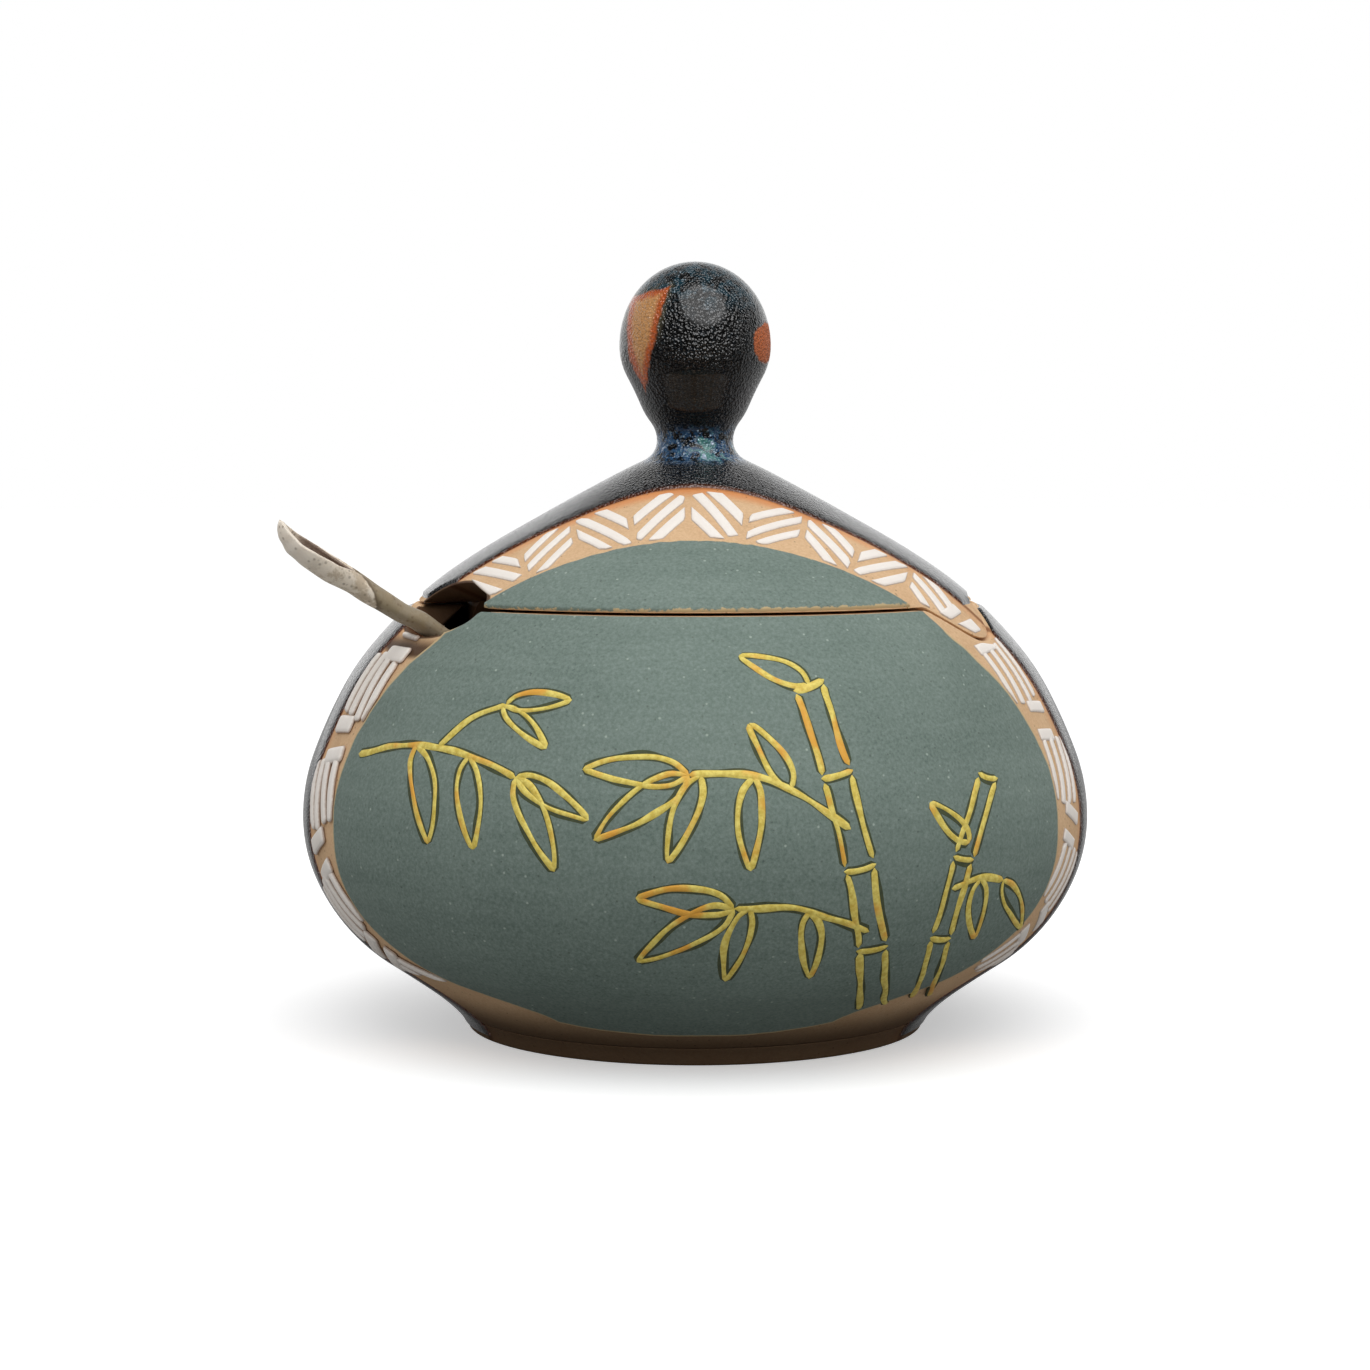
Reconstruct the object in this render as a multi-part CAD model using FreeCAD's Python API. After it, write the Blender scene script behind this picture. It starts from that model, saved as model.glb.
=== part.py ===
import FreeCAD, Part
import math
import os

# A lidded stoneware sugar jar with a pear-shaped knob and a small spoon.
# The vessel is thrown as one closed form, then cut apart below the shoulder.
# Millimetres. Z is up, the jar's axis is the Z axis, the table is Z = 0,
# and the green panel faces -Y. Azimuths are measured from -Y towards +X.

# Driving dimensions of the vessel and its knob
belly_radius = 58.3
seam_height = 63.8
lid_height = 23.9
neck_radius = 5.3
knob_radius = 11.3
knob_height = 26.5

# Turning points of the outside: shares of the belly's radius and of the piece's own
# height, and the outline's heading there when it is drawn in shares
jar_outside_shares = (
    (0.5866, 0.0000, 76.91), (0.6021, 0.0361, 47.44), (0.7033, 0.1176, 33.10),
    (0.8919, 0.2508, 46.23), (1.0000, 0.5000, 90.00), (0.8997, 0.7915, 120.19),
    (0.7358, 0.9812, 138.18),
)
lid_outside_shares = ((0.4717, 0.4121, 125.82), (0.1990, 0.7762, 128.10))

# The same for the knob: shares of its own radius and of its height over the neck
knob_shares = (
    (0.7168, 0.1962, 44.99), (1.0000, 0.5283, 90.00), (0.7168, 0.8604, 154.35),
    (0.0000, 1.0000, 180.00),
)

# Walls, coats and clearances
wall = 4.5
floor_height = 8.0
floor_flat_share = 0.82
foot_wall = 5.8
foot_recess_height = 2.7
lid_ceiling_height_share = 0.5732
lid_ceiling_radius_share = 0.1372
lid_ceiling_rise = 1.1
slip_thickness = 0.45
glaze_thickness = 0.40
liner_thickness = 0.35
stroke_thickness = 0.30
bare_edge = 0.8
foot_bare_edge = 0.9
seam_gap = 0.3
overrun = 20.0
touching = 0.0001

# Ring under the lid that drops into the jar's mouth
ring_clearance = 0.5
ring_wall = 2.6
ring_depth = 4.5

# Key tongue of the lid and the notch that takes it
key_azimuth = 64.5
key_half_width = 9.0
key_depth = 4.5
key_clearance = 0.45

# Glaze line: the back was dipped in black up to this leaning plane
glaze_line_share = 0.4162
glaze_line_lean = 2.0
lid_panel_share = 0.6737

# Spoon, and the slot it lies in
spoon_azimuth = -60.0
spoon_slope = 33.0
spoon_drop = 4.41
spoon_out = 25.04
spoon_clearance = 0.3
spoon_bowl_length = 26.0
spoon_bowl_width = 17.0
spoon_bowl_depth = 6.5
spoon_bowl_wall = 1.7
stem_thickness = 3.0
stem_width = 4.8
leaf_length = 24.0
leaf_width = 8.6
leaf_thickness = 2.4
leaf_tip_width = 1.6
slot_half_width = 10.0
slot_half_height = 5.3

# White hatching on the bare band
stroke_width = 2.0
stroke_length = 12.5
stroke_pitch = 3.9
stroke_margin = 0.7
cell_pitch = 13.0
cell_gap = 0.9
strokes_per_cell = 3
stroke_angle = 40.0
jar_band_low_share = 0.15
jar_band_high_share = 0.97
lid_band_reach_share = 0.867
route_steps = 24
search_steps = 40

# Turning points of the green panel on the jar, from the bottom up the right side:
# shares of the outside's radius at that height, and of the seam's height
jar_panel_shares = (
    (0.4840, 0.103), (0.7314, 0.192), (0.8300, 0.280), (0.8679, 0.375),
    (0.8769, 0.510), (0.8795, 0.670), (0.8437, 0.835), (0.7467, 1.030),
)
jar_panel_foot_share = 0.080

# Half widths and thicknesses of the spoon's leaf, as shares, along its length
leaf_shares = ((0.28, 0.80, 1.08), (0.55, 1.00, 1.00), (0.80, 0.62, 0.85))

UP = FreeCAD.Vector(0, 0, 1)
ORIGIN = FreeCAD.Vector(0, 0, 0)


def outline_keys(shares, radius, base, height):
    """Stations (across, up, heading) of an outline that is drawn in shares."""
    keys = []
    for across, up, heading in shares:
        turn = math.radians(heading)
        lean = math.atan2(math.sin(turn) * height, math.cos(turn) * radius)
        keys.append((across * radius, base + up * height, math.degrees(lean)))
    return keys


lidded_height = seam_height + lid_height
outside_keys = outline_keys(jar_outside_shares, belly_radius, 0.0, seam_height)
outside_keys += outline_keys(lid_outside_shares, belly_radius, seam_height, lid_height)
neck_keys = (outside_keys[-1], (neck_radius, lidded_height, 90.0))
knob_foot = (neck_radius + glaze_thickness, lidded_height, 90.0)
knob_keys = [knob_foot] + outline_keys(knob_shares, knob_radius, lidded_height, knob_height)
belly_height = max(outside_keys)[1]


# Outlines of tangent arcs. A station is (across, up, heading in degrees).
def sideways(station, distance):
    """The station moved to the right of its heading."""
    across, up, heading = station
    turn = math.radians(heading)
    return (across + distance * math.sin(turn), up - distance * math.cos(turn), heading)


def arc_middle(start, end):
    """The middle station of the arc that joins two stations."""
    run_across, run_up = end[0] - start[0], end[1] - start[1]
    heading = (start[2] + end[2]) / 2
    bulge = math.hypot(run_across, run_up) / 2 * math.tan(math.radians(end[2] - start[2]) / 4)
    chord_middle = ((start[0] + end[0]) / 2, (start[1] + end[1]) / 2, heading)
    return sideways(chord_middle, bulge)


def join_station(start, end):
    """Where two tangent arcs meet between two stations."""
    start_turn, end_turn = math.radians(start[2]), math.radians(end[2])
    across = math.cos(start_turn) + math.cos(end_turn)
    up = math.sin(start_turn) + math.sin(end_turn)
    run_across, run_up = end[0] - start[0], end[1] - start[1]
    along = run_across * across + run_up * up
    bend = 2 * (1 - math.cos(end_turn - start_turn))
    span = run_across ** 2 + run_up ** 2
    reach = (math.sqrt(along ** 2 + bend * span) - along) / bend
    first = (start[0] + reach * math.cos(start_turn), start[1] + reach * math.sin(start_turn))
    second = (end[0] - reach * math.cos(end_turn), end[1] - reach * math.sin(end_turn))
    heading = math.degrees(math.atan2(second[1] - first[1], second[0] - first[0]))
    return ((first[0] + second[0]) / 2, (first[1] + second[1]) / 2, heading)


def stations_through(keys):
    """Start, middle and end of every tangent arc through the keys."""
    stations = [keys[0]]
    for start, end in zip(keys, keys[1:]):
        joint = join_station(start, end)
        stations += [arc_middle(start, joint), joint, arc_middle(joint, end), end]
    return stations


def moved_sideways(stations, distance):
    return [sideways(station, distance) for station in stations]


def section_point(station):
    return FreeCAD.Vector(station[0], 0, station[1])


def arc_edges(stations, place=section_point):
    """Arcs through stations that go start, middle, end, middle, end."""
    points = [place(station) for station in stations]
    return [
        Part.Arc(points[i], points[i + 1], points[i + 2]).toShape()
        for i in range(0, len(points) - 2, 2)
    ]


def line(start, end):
    return Part.LineSegment(start, end).toShape()


def spun(edges):
    """Solid of revolution about the jar's axis from a closed outline."""
    solid = Part.Face(Part.Wire(edges)).revolve(ORIGIN, UP, 360)
    return solid if solid.Volume > 0 else solid.reversed()


def closed_to_axis(stations):
    """Edges that close an outline down to the axis."""
    first, last = section_point(stations[0]), section_point(stations[-1])
    foot, top = FreeCAD.Vector(0, 0, first.z), FreeCAD.Vector(0, 0, last.z)
    edges = arc_edges(stations)
    if last.x > touching:
        edges.append(line(last, top))
    return edges + [line(top, foot), line(foot, first)]


def spun_shell(stations, thickness):
    """Skin between an outline and the same outline moved outwards."""
    outer = moved_sideways(stations, thickness)
    edges = arc_edges(stations)
    edges.append(line(section_point(stations[-1]), section_point(outer[-1])))
    edges += arc_edges(outer)
    edges.append(line(section_point(outer[0]), section_point(stations[0])))
    return spun(Part.sortEdges(edges)[0])


def upper_space(height):
    """All that lies above a height."""
    size = 2 * (belly_radius + overrun)
    box = Part.makeBox(size, size, size)
    box.translate(FreeCAD.Vector(-size / 2, -size / 2, height))
    return box


def lower_space(height):
    """All that lies below a height."""
    size = 2 * (belly_radius + overrun)
    box = Part.makeBox(size, size, size)
    box.translate(FreeCAD.Vector(-size / 2, -size / 2, height - size))
    return box


def turned(shape, azimuth):
    """Shape turned from the front, -Y, to an azimuth."""
    copy = shape.copy()
    copy.rotate(ORIGIN, UP, azimuth)
    return copy


# Outline stations of the outside and of the hollow
outside = stations_through(outside_keys)


def hollow_outline():
    """The hollow's stations: the floor, the wall, and the ceiling under the crown."""
    sides = moved_sideways(stations_through(outside_keys[2:-1]), -wall)
    floor_key = (sides[0][0] * floor_flat_share, floor_height, 0.0)
    ceiling_height = seam_height + lid_height * lid_ceiling_height_share
    ceiling_key = (belly_radius * lid_ceiling_radius_share, ceiling_height, 165.0)
    top_key = (0.0, ceiling_height + lid_ceiling_rise, 180.0)
    lower = stations_through((floor_key, sides[0]))
    upper = stations_through((sides[-1], ceiling_key, top_key))
    return lower[:-1] + sides[:-1] + upper


def station_at(stations, height):
    """The station of an outline at a height, as (across, up, heading)."""
    for low, high in zip(stations, stations[1:]):
        if low[1] <= height <= high[1]:
            share = (height - low[1]) / (high[1] - low[1])
            return [a + (b - a) * share for a, b in zip(low, high)]
    return stations[-1]


hollow_line = hollow_outline()
mouth_radius = station_at(outside, seam_height)[0]
ring_radius = station_at(hollow_line, seam_height)[0] - ring_clearance


def hollow_space(shift):
    """The space inside the walls, its boundary moved inwards by the shift."""
    return spun(closed_to_axis(moved_sideways(hollow_line, -shift)))


def vessel_space():
    """Everything within the outside, from above the foot to the neck."""
    neck = stations_through(neck_keys)
    solid = spun(closed_to_axis(outside + neck[1:]))
    return solid.common(upper_space(foot_recess_height))


# The lid's key tongue: a lobe across the jar's side, cut straight along a radius
def key_prism(grow):
    lobe = stations_through((
        (-key_half_width, 0.0, -38.0), (0.0, -key_depth, 0.0), (key_half_width, 0.0, 38.0),
    ))
    lobe = moved_sideways(lobe, grow)
    near, far = mouth_radius / 2, belly_radius + overrun

    def place(station):
        return FreeCAD.Vector(station[0], -near, seam_height + station[1])

    first, last = place(lobe[0]), place(lobe[-1])
    rise = FreeCAD.Vector(0, 0, key_depth)
    edges = arc_edges(lobe, place)
    edges += [line(last, last + rise), line(last + rise, first + rise), line(first + rise, first)]
    prism = Part.Face(Part.Wire(edges)).extrude(FreeCAD.Vector(0, near - far, 0))
    return turned(prism, key_azimuth)


# The spoon's own frame: Z along its axis outwards and up, Y up from its back
spoon_cos = math.cos(math.radians(spoon_slope))
spoon_sin = math.sin(math.radians(spoon_slope))
spoon_azimuth_turn = math.radians(spoon_azimuth)
spoon_plan = FreeCAD.Vector(math.sin(spoon_azimuth_turn), -math.cos(spoon_azimuth_turn), 0)
spoon_axis = spoon_plan * spoon_cos + UP * spoon_sin
spoon_up = UP * spoon_cos - spoon_plan * spoon_sin
spoon_across = spoon_up.cross(spoon_axis)
spoon_axis_height = seam_height - spoon_drop - mouth_radius * spoon_sin / spoon_cos
spoon_base = UP * spoon_axis_height
spoon_end = (mouth_radius + spoon_out) / spoon_cos


def in_spoon_frame(shape):
    matrix = FreeCAD.Matrix(
        spoon_across.x, spoon_up.x, spoon_axis.x, spoon_base.x,
        spoon_across.y, spoon_up.y, spoon_axis.y, spoon_base.y,
        spoon_across.z, spoon_up.z, spoon_axis.z, spoon_base.z,
        0, 0, 0, 1,
    )
    placed = shape.copy()
    placed.Placement = FreeCAD.Placement(matrix)
    return placed


slot_centre = slot_half_height - stem_thickness / 2 - spoon_clearance
slot_start = mouth_radius / 2 / spoon_cos
slot_run = (belly_radius + overrun) / spoon_cos - slot_start


def slot_prism(open_side, grow=0.0):
    """Half of the slot's oval, open upwards (1) or downwards (-1)."""
    wide, high = slot_half_width + grow, slot_half_height + grow
    tall = belly_radius + overrun
    oval = Part.Ellipse(FreeCAD.Vector(wide, slot_centre, slot_start),
                        FreeCAD.Vector(0, slot_centre + high, slot_start),
                        FreeCAD.Vector(0, slot_centre, slot_start)).toShape()
    oval = Part.Face(Part.Wire(oval)).extrude(FreeCAD.Vector(0, 0, slot_run))
    side = Part.makeBox(2 * wide, tall, slot_run)
    rise = slot_centre if open_side > 0 else slot_centre - tall
    side.translate(FreeCAD.Vector(-wide, rise, slot_start))
    return in_spoon_frame(oval.fuse(side))


# What belongs to the lid and what to the jar
def lid_zone(inset):
    zone = upper_space(seam_height + seam_gap / 2 + inset).fuse(key_prism(-inset))
    return zone.cut(slot_prism(-1, inset))


def jar_zone(inset):
    zone = lower_space(seam_height - seam_gap / 2 - inset).cut(key_prism(key_clearance + inset))
    return zone.cut(slot_prism(1, inset))


# Where each coat lies
def glaze_front_at(height):
    """How far in front of the jar's axis the glaze line lies at a height."""
    lean = math.tan(math.radians(glaze_line_lean))
    return mouth_radius * glaze_line_share - height * lean


def glazed_back(margin):
    """Behind the leaning glaze line, moved forwards by the margin, and clear of the table."""
    size = 4 * belly_radius
    front = glaze_front_at(0.0) + margin
    box = Part.makeBox(size, size, size)
    box.translate(FreeCAD.Vector(-size / 2, -front, 0))
    box.rotate(FreeCAD.Vector(0, -front, 0), FreeCAD.Vector(1, 0, 0), -glaze_line_lean)
    return box.common(upper_space(foot_bare_edge))


def moved_outline(points, grow):
    """Outline points moved out across the line between their neighbours."""
    moved = []
    for index, (across, up) in enumerate(points):
        before, after = points[max(index - 1, 0)], points[min(index + 1, len(points) - 1)]
        run_across, run_up = after[0] - before[0], after[1] - before[1]
        length = math.hypot(run_across, run_up)
        moved.append((across + grow * run_up / length, up - grow * run_across / length))
    return moved


def panel_half_width(height):
    """Half width of the green panel on the jar at a height."""
    radius = station_at(outside, height)[0]
    for (wide, low), (next_wide, high) in zip(jar_panel_shares, jar_panel_shares[1:]):
        if low * seam_height <= height <= high * seam_height:
            step = (height / seam_height - low) / (high - low)
            return radius * (wide + (next_wide - wide) * step)
    return radius * jar_panel_shares[-1][0]


def jar_panel_prism(grow):
    """Front outline of the green panel, run through the jar's front half."""
    heights = [seam_height * up for across, up in jar_panel_shares]
    right = [(panel_half_width(height), height) for height in heights]
    foot = (0.0, seam_height * jar_panel_foot_share)
    outline = moved_outline([(-x, z) for x, z in reversed(right)] + [foot] + right, grow)
    curve = Part.BSplineCurve()
    curve.interpolate([FreeCAD.Vector(x, 0, z) for x, z in outline])
    face = Part.Face(Part.Wire([curve.toShape(), line(curve.EndPoint, curve.StartPoint)]))
    return face.extrude(FreeCAD.Vector(0, -belly_radius - overrun, 0))


lid_panel_front = mouth_radius * lid_panel_share


def lid_panel_space(grow):
    """In front of a plane parallel to the panel's face."""
    size = 4 * belly_radius
    box = Part.makeBox(size, size, size)
    box.translate(FreeCAD.Vector(-size / 2, grow - size - lid_panel_front, 0))
    return box


# Middle lines of the bare band, for the white strokes
def band_point(height, side):
    """Middle of the jar's bare band at a height."""
    radius = station_at(outside, height)[0]
    inner = math.asin(panel_half_width(height) / radius)
    outer = math.acos(glaze_front_at(height) / radius)
    azimuth = side * (inner + outer) / 2
    return FreeCAD.Vector(radius * math.sin(azimuth), -radius * math.cos(azimuth), height)


def lid_band_point(across):
    """Middle of the lid's bare band at a distance across the lid."""
    front = (lid_panel_front + glaze_front_at(seam_height)) / 2
    radius = math.hypot(across, front)
    low, high = seam_height, outside[-1][1]
    for _ in range(search_steps):
        middle = (low + high) / 2
        if station_at(outside, middle)[0] > radius:
            low = middle
        else:
            high = middle
    return FreeCAD.Vector(across, -front, low)


def evenly(route, pitch):
    """Point and direction at even steps along a route of points."""
    gaps = [(b - a).Length for a, b in zip(route, route[1:])]
    count = max(1, round(sum(gaps) / pitch))
    step = sum(gaps) / count
    places, done, target = [], 0.0, step / 2
    for start, end, gap in zip(route, route[1:], gaps):
        while len(places) < count and done + gap >= target:
            share = (target - done) / gap
            places.append((start + (end - start) * share, (end - start).normalize()))
            target += step
        done += gap
    return places


def laid_block(centre, along, out, angle, length, width, shift):
    """Block laid on the surface, its length turned from the band's direction."""
    sideways_axis = out.cross(along).normalize()
    turn = math.radians(angle)
    length_axis = along * math.cos(turn) + sideways_axis * math.sin(turn)
    width_axis = out.cross(length_axis).normalize()
    block = Part.makeBox(length, width, 2 * wall)
    block.translate(FreeCAD.Vector(-length / 2, -width / 2 + shift, -wall))
    matrix = FreeCAD.Matrix(
        length_axis.x, width_axis.x, out.x, centre.x,
        length_axis.y, width_axis.y, out.y, centre.y,
        length_axis.z, width_axis.z, out.z, centre.z,
        0, 0, 0, 1,
    )
    block.Placement = FreeCAD.Placement(matrix).multiply(block.Placement)
    return block


def stroke_blocks(route):
    """Groups of parallel strokes that lean one way and the other by turns."""
    blocks = []
    for index, (centre, along) in enumerate(evenly(route, cell_pitch)):
        heading = station_at(outside, centre.z)[2]
        plan = FreeCAD.Vector(centre.x, centre.y, 0).normalize()
        tilt = math.radians(heading)
        out = plan * math.sin(tilt) - UP * math.cos(tilt)
        along = (along - out * along.dot(out)).normalize()
        angle = stroke_angle if index % 2 else -stroke_angle
        cell = laid_block(centre, along, out, 0.0, cell_pitch - cell_gap, 2 * cell_pitch, 0.0)
        for number in range(strokes_per_cell):
            shift = (number - (strokes_per_cell - 1) / 2) * stroke_pitch
            stroke = laid_block(centre, along, out, angle, stroke_length, stroke_width, shift)
            blocks.append(stroke.common(cell))
    return blocks


def band_strokes(zone, panel, blocks):
    """White strokes on the bare clay, clipped clear of both coats."""
    skin = spun_shell(outside, stroke_thickness).common(zone)
    skin = skin.cut(panel).cut(glazed_back(stroke_margin))
    solids = [solid for block in blocks for solid in skin.common(block).Solids]
    worth = stroke_width * stroke_width * stroke_thickness
    return Part.makeCompound([solid for solid in solids if solid.Volume > worth])


# The sub-parts
def jar_bowl(walls):
    """Floor and wall up to the belly."""
    return walls.common(jar_zone(0.0)).common(lower_space(belly_height))


def jar_shoulder(walls):
    """Wall from the belly in to the mouth."""
    return walls.common(jar_zone(0.0)).common(upper_space(belly_height))


def foot_ring():
    """Turned ring under the bowl, hollow inside."""
    foot = stations_through(outside_keys[:3])
    solid = spun(closed_to_axis(foot)).common(lower_space(foot_recess_height))
    recess = Part.makeCylinder(foot[0][0] - foot_wall, foot_recess_height)
    return solid.cut(recess)


def lid_dome(walls):
    return walls.common(lid_zone(0.0))


def lid_locating_ring(hollow):
    """Ring that hangs into the mouth, cut away over the spoon's slot."""
    base = FreeCAD.Vector(0, 0, seam_height - ring_depth)
    tall = ring_depth + wall + ring_wall
    ring = Part.makeCylinder(ring_radius, tall, base)
    ring = ring.cut(Part.makeCylinder(ring_radius - ring_wall, tall, base))
    return ring.common(hollow).cut(slot_prism(-1))


def lid_knob():
    return spun(closed_to_axis(stations_through(knob_keys)))


def coat(stations, thickness, zone, place):
    skin = spun_shell(stations, thickness).common(zone)
    return skin.common(place)


def inside_liner(hollow, zone, reach):
    liner = hollow.cut(hollow_space(liner_thickness))
    return liner.common(zone).common(reach)


def bowl_ellipsoid(length, width, depth, centre, rim):
    """Lower half of an ellipsoid that hangs from the rim's height."""
    low, side = FreeCAD.Vector(0, -depth, 0), FreeCAD.Vector(depth, 0, 0)
    middle = FreeCAD.Vector(depth * math.sqrt(0.5), -depth * math.sqrt(0.5), 0)
    edges = [Part.Arc(low, middle, side).toShape(), line(side, ORIGIN), line(ORIGIN, low)]
    half_ball = Part.Face(Part.Wire(edges)).revolve(ORIGIN, FreeCAD.Vector(0, 1, 0), 360)
    matrix = FreeCAD.Matrix()
    matrix.scale(width / 2 / depth, 1, length / 2 / depth)
    solid = half_ball.transformGeometry(matrix)
    solid.translate(FreeCAD.Vector(0, rim, centre))
    return solid


spoon_rim = spoon_bowl_depth - stem_thickness / 2


def spoon_bowl_centre():
    """Slides the bowl down its axis until its back rests near the jar's inside."""
    inside = Part.Wire(arc_edges(moved_sideways(hollow_line, -liner_thickness)))
    half_length = spoon_bowl_length / 2
    low, high = -(belly_radius + half_length) / spoon_cos, slot_start

    def gap(centre):
        points = []
        for step in range(2 * route_steps + 1):
            turn = math.pi * step / (2 * route_steps)
            along = centre - half_length * math.cos(turn)
            rise = spoon_rim - spoon_bowl_depth * math.sin(turn)
            across = -(along * spoon_cos - rise * spoon_sin)
            up = spoon_axis_height + along * spoon_sin + rise * spoon_cos
            points.append(FreeCAD.Vector(across, 0, up))
        outline = Part.makePolygon(points)
        free = outline.distToShape(inside)[0]
        lowest = min(point.z for point in points)
        return free if free > 0 and lowest > floor_height else -1.0

    for _ in range(search_steps):
        middle = (low + high) / 2
        if gap(middle) < spoon_clearance:
            low = middle
        else:
            high = middle
    return high


def spoon_bowl(centre):
    outer = bowl_ellipsoid(spoon_bowl_length, spoon_bowl_width, spoon_bowl_depth, centre, spoon_rim)
    inner = bowl_ellipsoid(spoon_bowl_length - 2 * spoon_bowl_wall,
                           spoon_bowl_width - 2 * spoon_bowl_wall,
                           spoon_bowl_depth - spoon_bowl_wall, centre, spoon_rim)
    return outer.cut(inner)


def oval_wire(wide, thick, along):
    major, minor = max(wide, thick), min(wide, thick)
    tip = FreeCAD.Vector(major, 0, along) if wide >= thick else FreeCAD.Vector(0, major, along)
    side = FreeCAD.Vector(0, minor, along) if wide >= thick else FreeCAD.Vector(minor, 0, along)
    return Part.Wire(Part.Ellipse(tip, side, FreeCAD.Vector(0, 0, along)).toShape())


def spoon_handle(centre):
    """Round stem that widens to a pointed leaf."""
    leaf_start = spoon_end - leaf_length
    stem_start = centre + spoon_bowl_length / 2 - 2 * spoon_bowl_wall
    stem = Part.Face(oval_wire(stem_width / 2, stem_thickness / 2, stem_start))
    stem = stem.extrude(FreeCAD.Vector(0, 0, leaf_start - stem_start))
    sections = [oval_wire(stem_width / 2, stem_thickness / 2, leaf_start)]
    for along, wide, thick in leaf_shares:
        sections.append(oval_wire(leaf_width / 2 * wide, leaf_thickness / 2 * thick,
                                  leaf_start + leaf_length * along))
    sections.append(oval_wire(leaf_tip_width / 2, leaf_tip_width / 3, spoon_end))
    return stem.fuse(Part.makeLoft(sections, True))


def write(name, shape):
    shape.exportStep("parts/" + name + ".step")
    print(name, "solids", len(shape.Solids), "volume", round(shape.Volume, 1),
          "valid", shape.isValid())


def main():
    os.makedirs("parts", exist_ok=True)
    hollow = hollow_space(0.0)
    walls = vessel_space().cut(hollow)
    back = glazed_back(0.0)
    neck = stations_through(neck_keys)
    whole_line = outside + neck[1:]

    write("jar_bowl", jar_bowl(walls))
    write("jar_shoulder", jar_shoulder(walls))
    write("jar_foot_ring", foot_ring())
    write("jar_green_slip",
          coat(outside, slip_thickness, jar_zone(bare_edge), jar_panel_prism(0.0)))
    write("jar_black_glaze", coat(outside, glaze_thickness, jar_zone(bare_edge), back))
    write("jar_inside_glaze",
          inside_liner(hollow, jar_zone(bare_edge), lower_space(seam_height - 2 * bare_edge)))

    low, high = seam_height * jar_band_low_share, seam_height * jar_band_high_share
    jar_heights = [low + (high - low) * step / route_steps for step in range(route_steps + 1)]
    jar_blocks = []
    for side in (-1, 1):
        jar_blocks += stroke_blocks([band_point(height, side) for height in jar_heights])
    jar_panel = jar_panel_prism(stroke_margin)
    write("jar_band_strokes", band_strokes(jar_zone(bare_edge), jar_panel, jar_blocks))

    write("lid_dome", lid_dome(walls))
    write("lid_locating_ring", lid_locating_ring(hollow))
    write("lid_knob", lid_knob())
    write("lid_green_slip",
          coat(outside, slip_thickness, upper_space(seam_height + seam_gap / 2 + bare_edge),
               lid_panel_space(0.0)))
    write("lid_black_glaze", coat(whole_line, glaze_thickness, lid_zone(bare_edge), back))
    lid_reach = mouth_radius * lid_band_reach_share
    lid_steps = range(-route_steps, route_steps + 1)
    lid_route = [lid_band_point(lid_reach * step / route_steps) for step in lid_steps]
    lid_panel = lid_panel_space(stroke_margin)
    write("lid_band_strokes",
          band_strokes(lid_zone(bare_edge), lid_panel, stroke_blocks(lid_route)))
    inner = Part.makeCylinder(ring_radius - ring_wall, lidded_height)
    write("lid_inside_glaze", inside_liner(hollow, lid_zone(0.0), inner))

    spoon_centre = spoon_bowl_centre()
    bowl = in_spoon_frame(spoon_bowl(spoon_centre))
    handle = in_spoon_frame(spoon_handle(spoon_centre)).cut(bowl)
    write("spoon_bowl", bowl)
    write("spoon_handle", handle)
    print("spoon bowl centre along its axis", round(spoon_centre, 3),
          "length", round(spoon_end - spoon_centre + spoon_bowl_length / 2, 1))
    print("spoon axis", [round(c, 6) for c in spoon_axis], "ring", round(ring_radius, 2))


main()
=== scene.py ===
import bisect
import math
import random

import bpy
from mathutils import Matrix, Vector, noise


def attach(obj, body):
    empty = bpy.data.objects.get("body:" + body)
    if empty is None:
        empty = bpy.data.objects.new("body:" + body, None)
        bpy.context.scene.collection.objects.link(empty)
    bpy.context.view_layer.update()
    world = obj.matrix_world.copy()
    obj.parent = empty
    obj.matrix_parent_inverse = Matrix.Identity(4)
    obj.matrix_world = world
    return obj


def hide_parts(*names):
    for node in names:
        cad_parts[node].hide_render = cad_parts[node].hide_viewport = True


# A squat stoneware sugar jar with its lid and spoon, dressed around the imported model.
# Metres. The green panel faces -Y; azimuths run from -Y towards +X, in radians.
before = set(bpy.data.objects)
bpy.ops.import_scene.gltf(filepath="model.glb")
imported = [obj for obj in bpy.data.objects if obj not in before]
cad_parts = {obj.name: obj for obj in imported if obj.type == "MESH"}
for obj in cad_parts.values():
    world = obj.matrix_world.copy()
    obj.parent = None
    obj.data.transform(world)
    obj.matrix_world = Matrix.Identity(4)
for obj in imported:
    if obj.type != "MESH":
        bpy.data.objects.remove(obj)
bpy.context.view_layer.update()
dice = random.Random(7)

mm = 0.001
full_turn = 2 * math.pi

# Sizes of the pot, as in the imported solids
belly_radius = 58.3 * mm
seam_height = 63.8 * mm
lid_height = 23.9 * mm
neck_radius = 5.3 * mm
knob_radius = 11.3 * mm
knob_height = 26.5 * mm
wall = 4.5 * mm
floor_height = 8.0 * mm
foot_wall = 5.8 * mm
foot_recess_height = 2.7 * mm
slip_thickness = 0.45 * mm
glaze_thickness = 0.40 * mm
stroke_thickness = 0.30 * mm
foot_bare_edge = 0.9 * mm
key_azimuth = math.radians(64.5)
key_half_width = 9.0 * mm
key_depth = 4.5 * mm
key_clearance = 0.45 * mm
glaze_line_share = 0.4162
glaze_line_lean = math.tan(math.radians(2.0))
lid_panel_share = 0.6737
spoon_azimuth = math.radians(-60.0)
spoon_slope = math.radians(33.0)
spoon_drop = 4.41 * mm
spoon_out = 25.04 * mm
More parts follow.
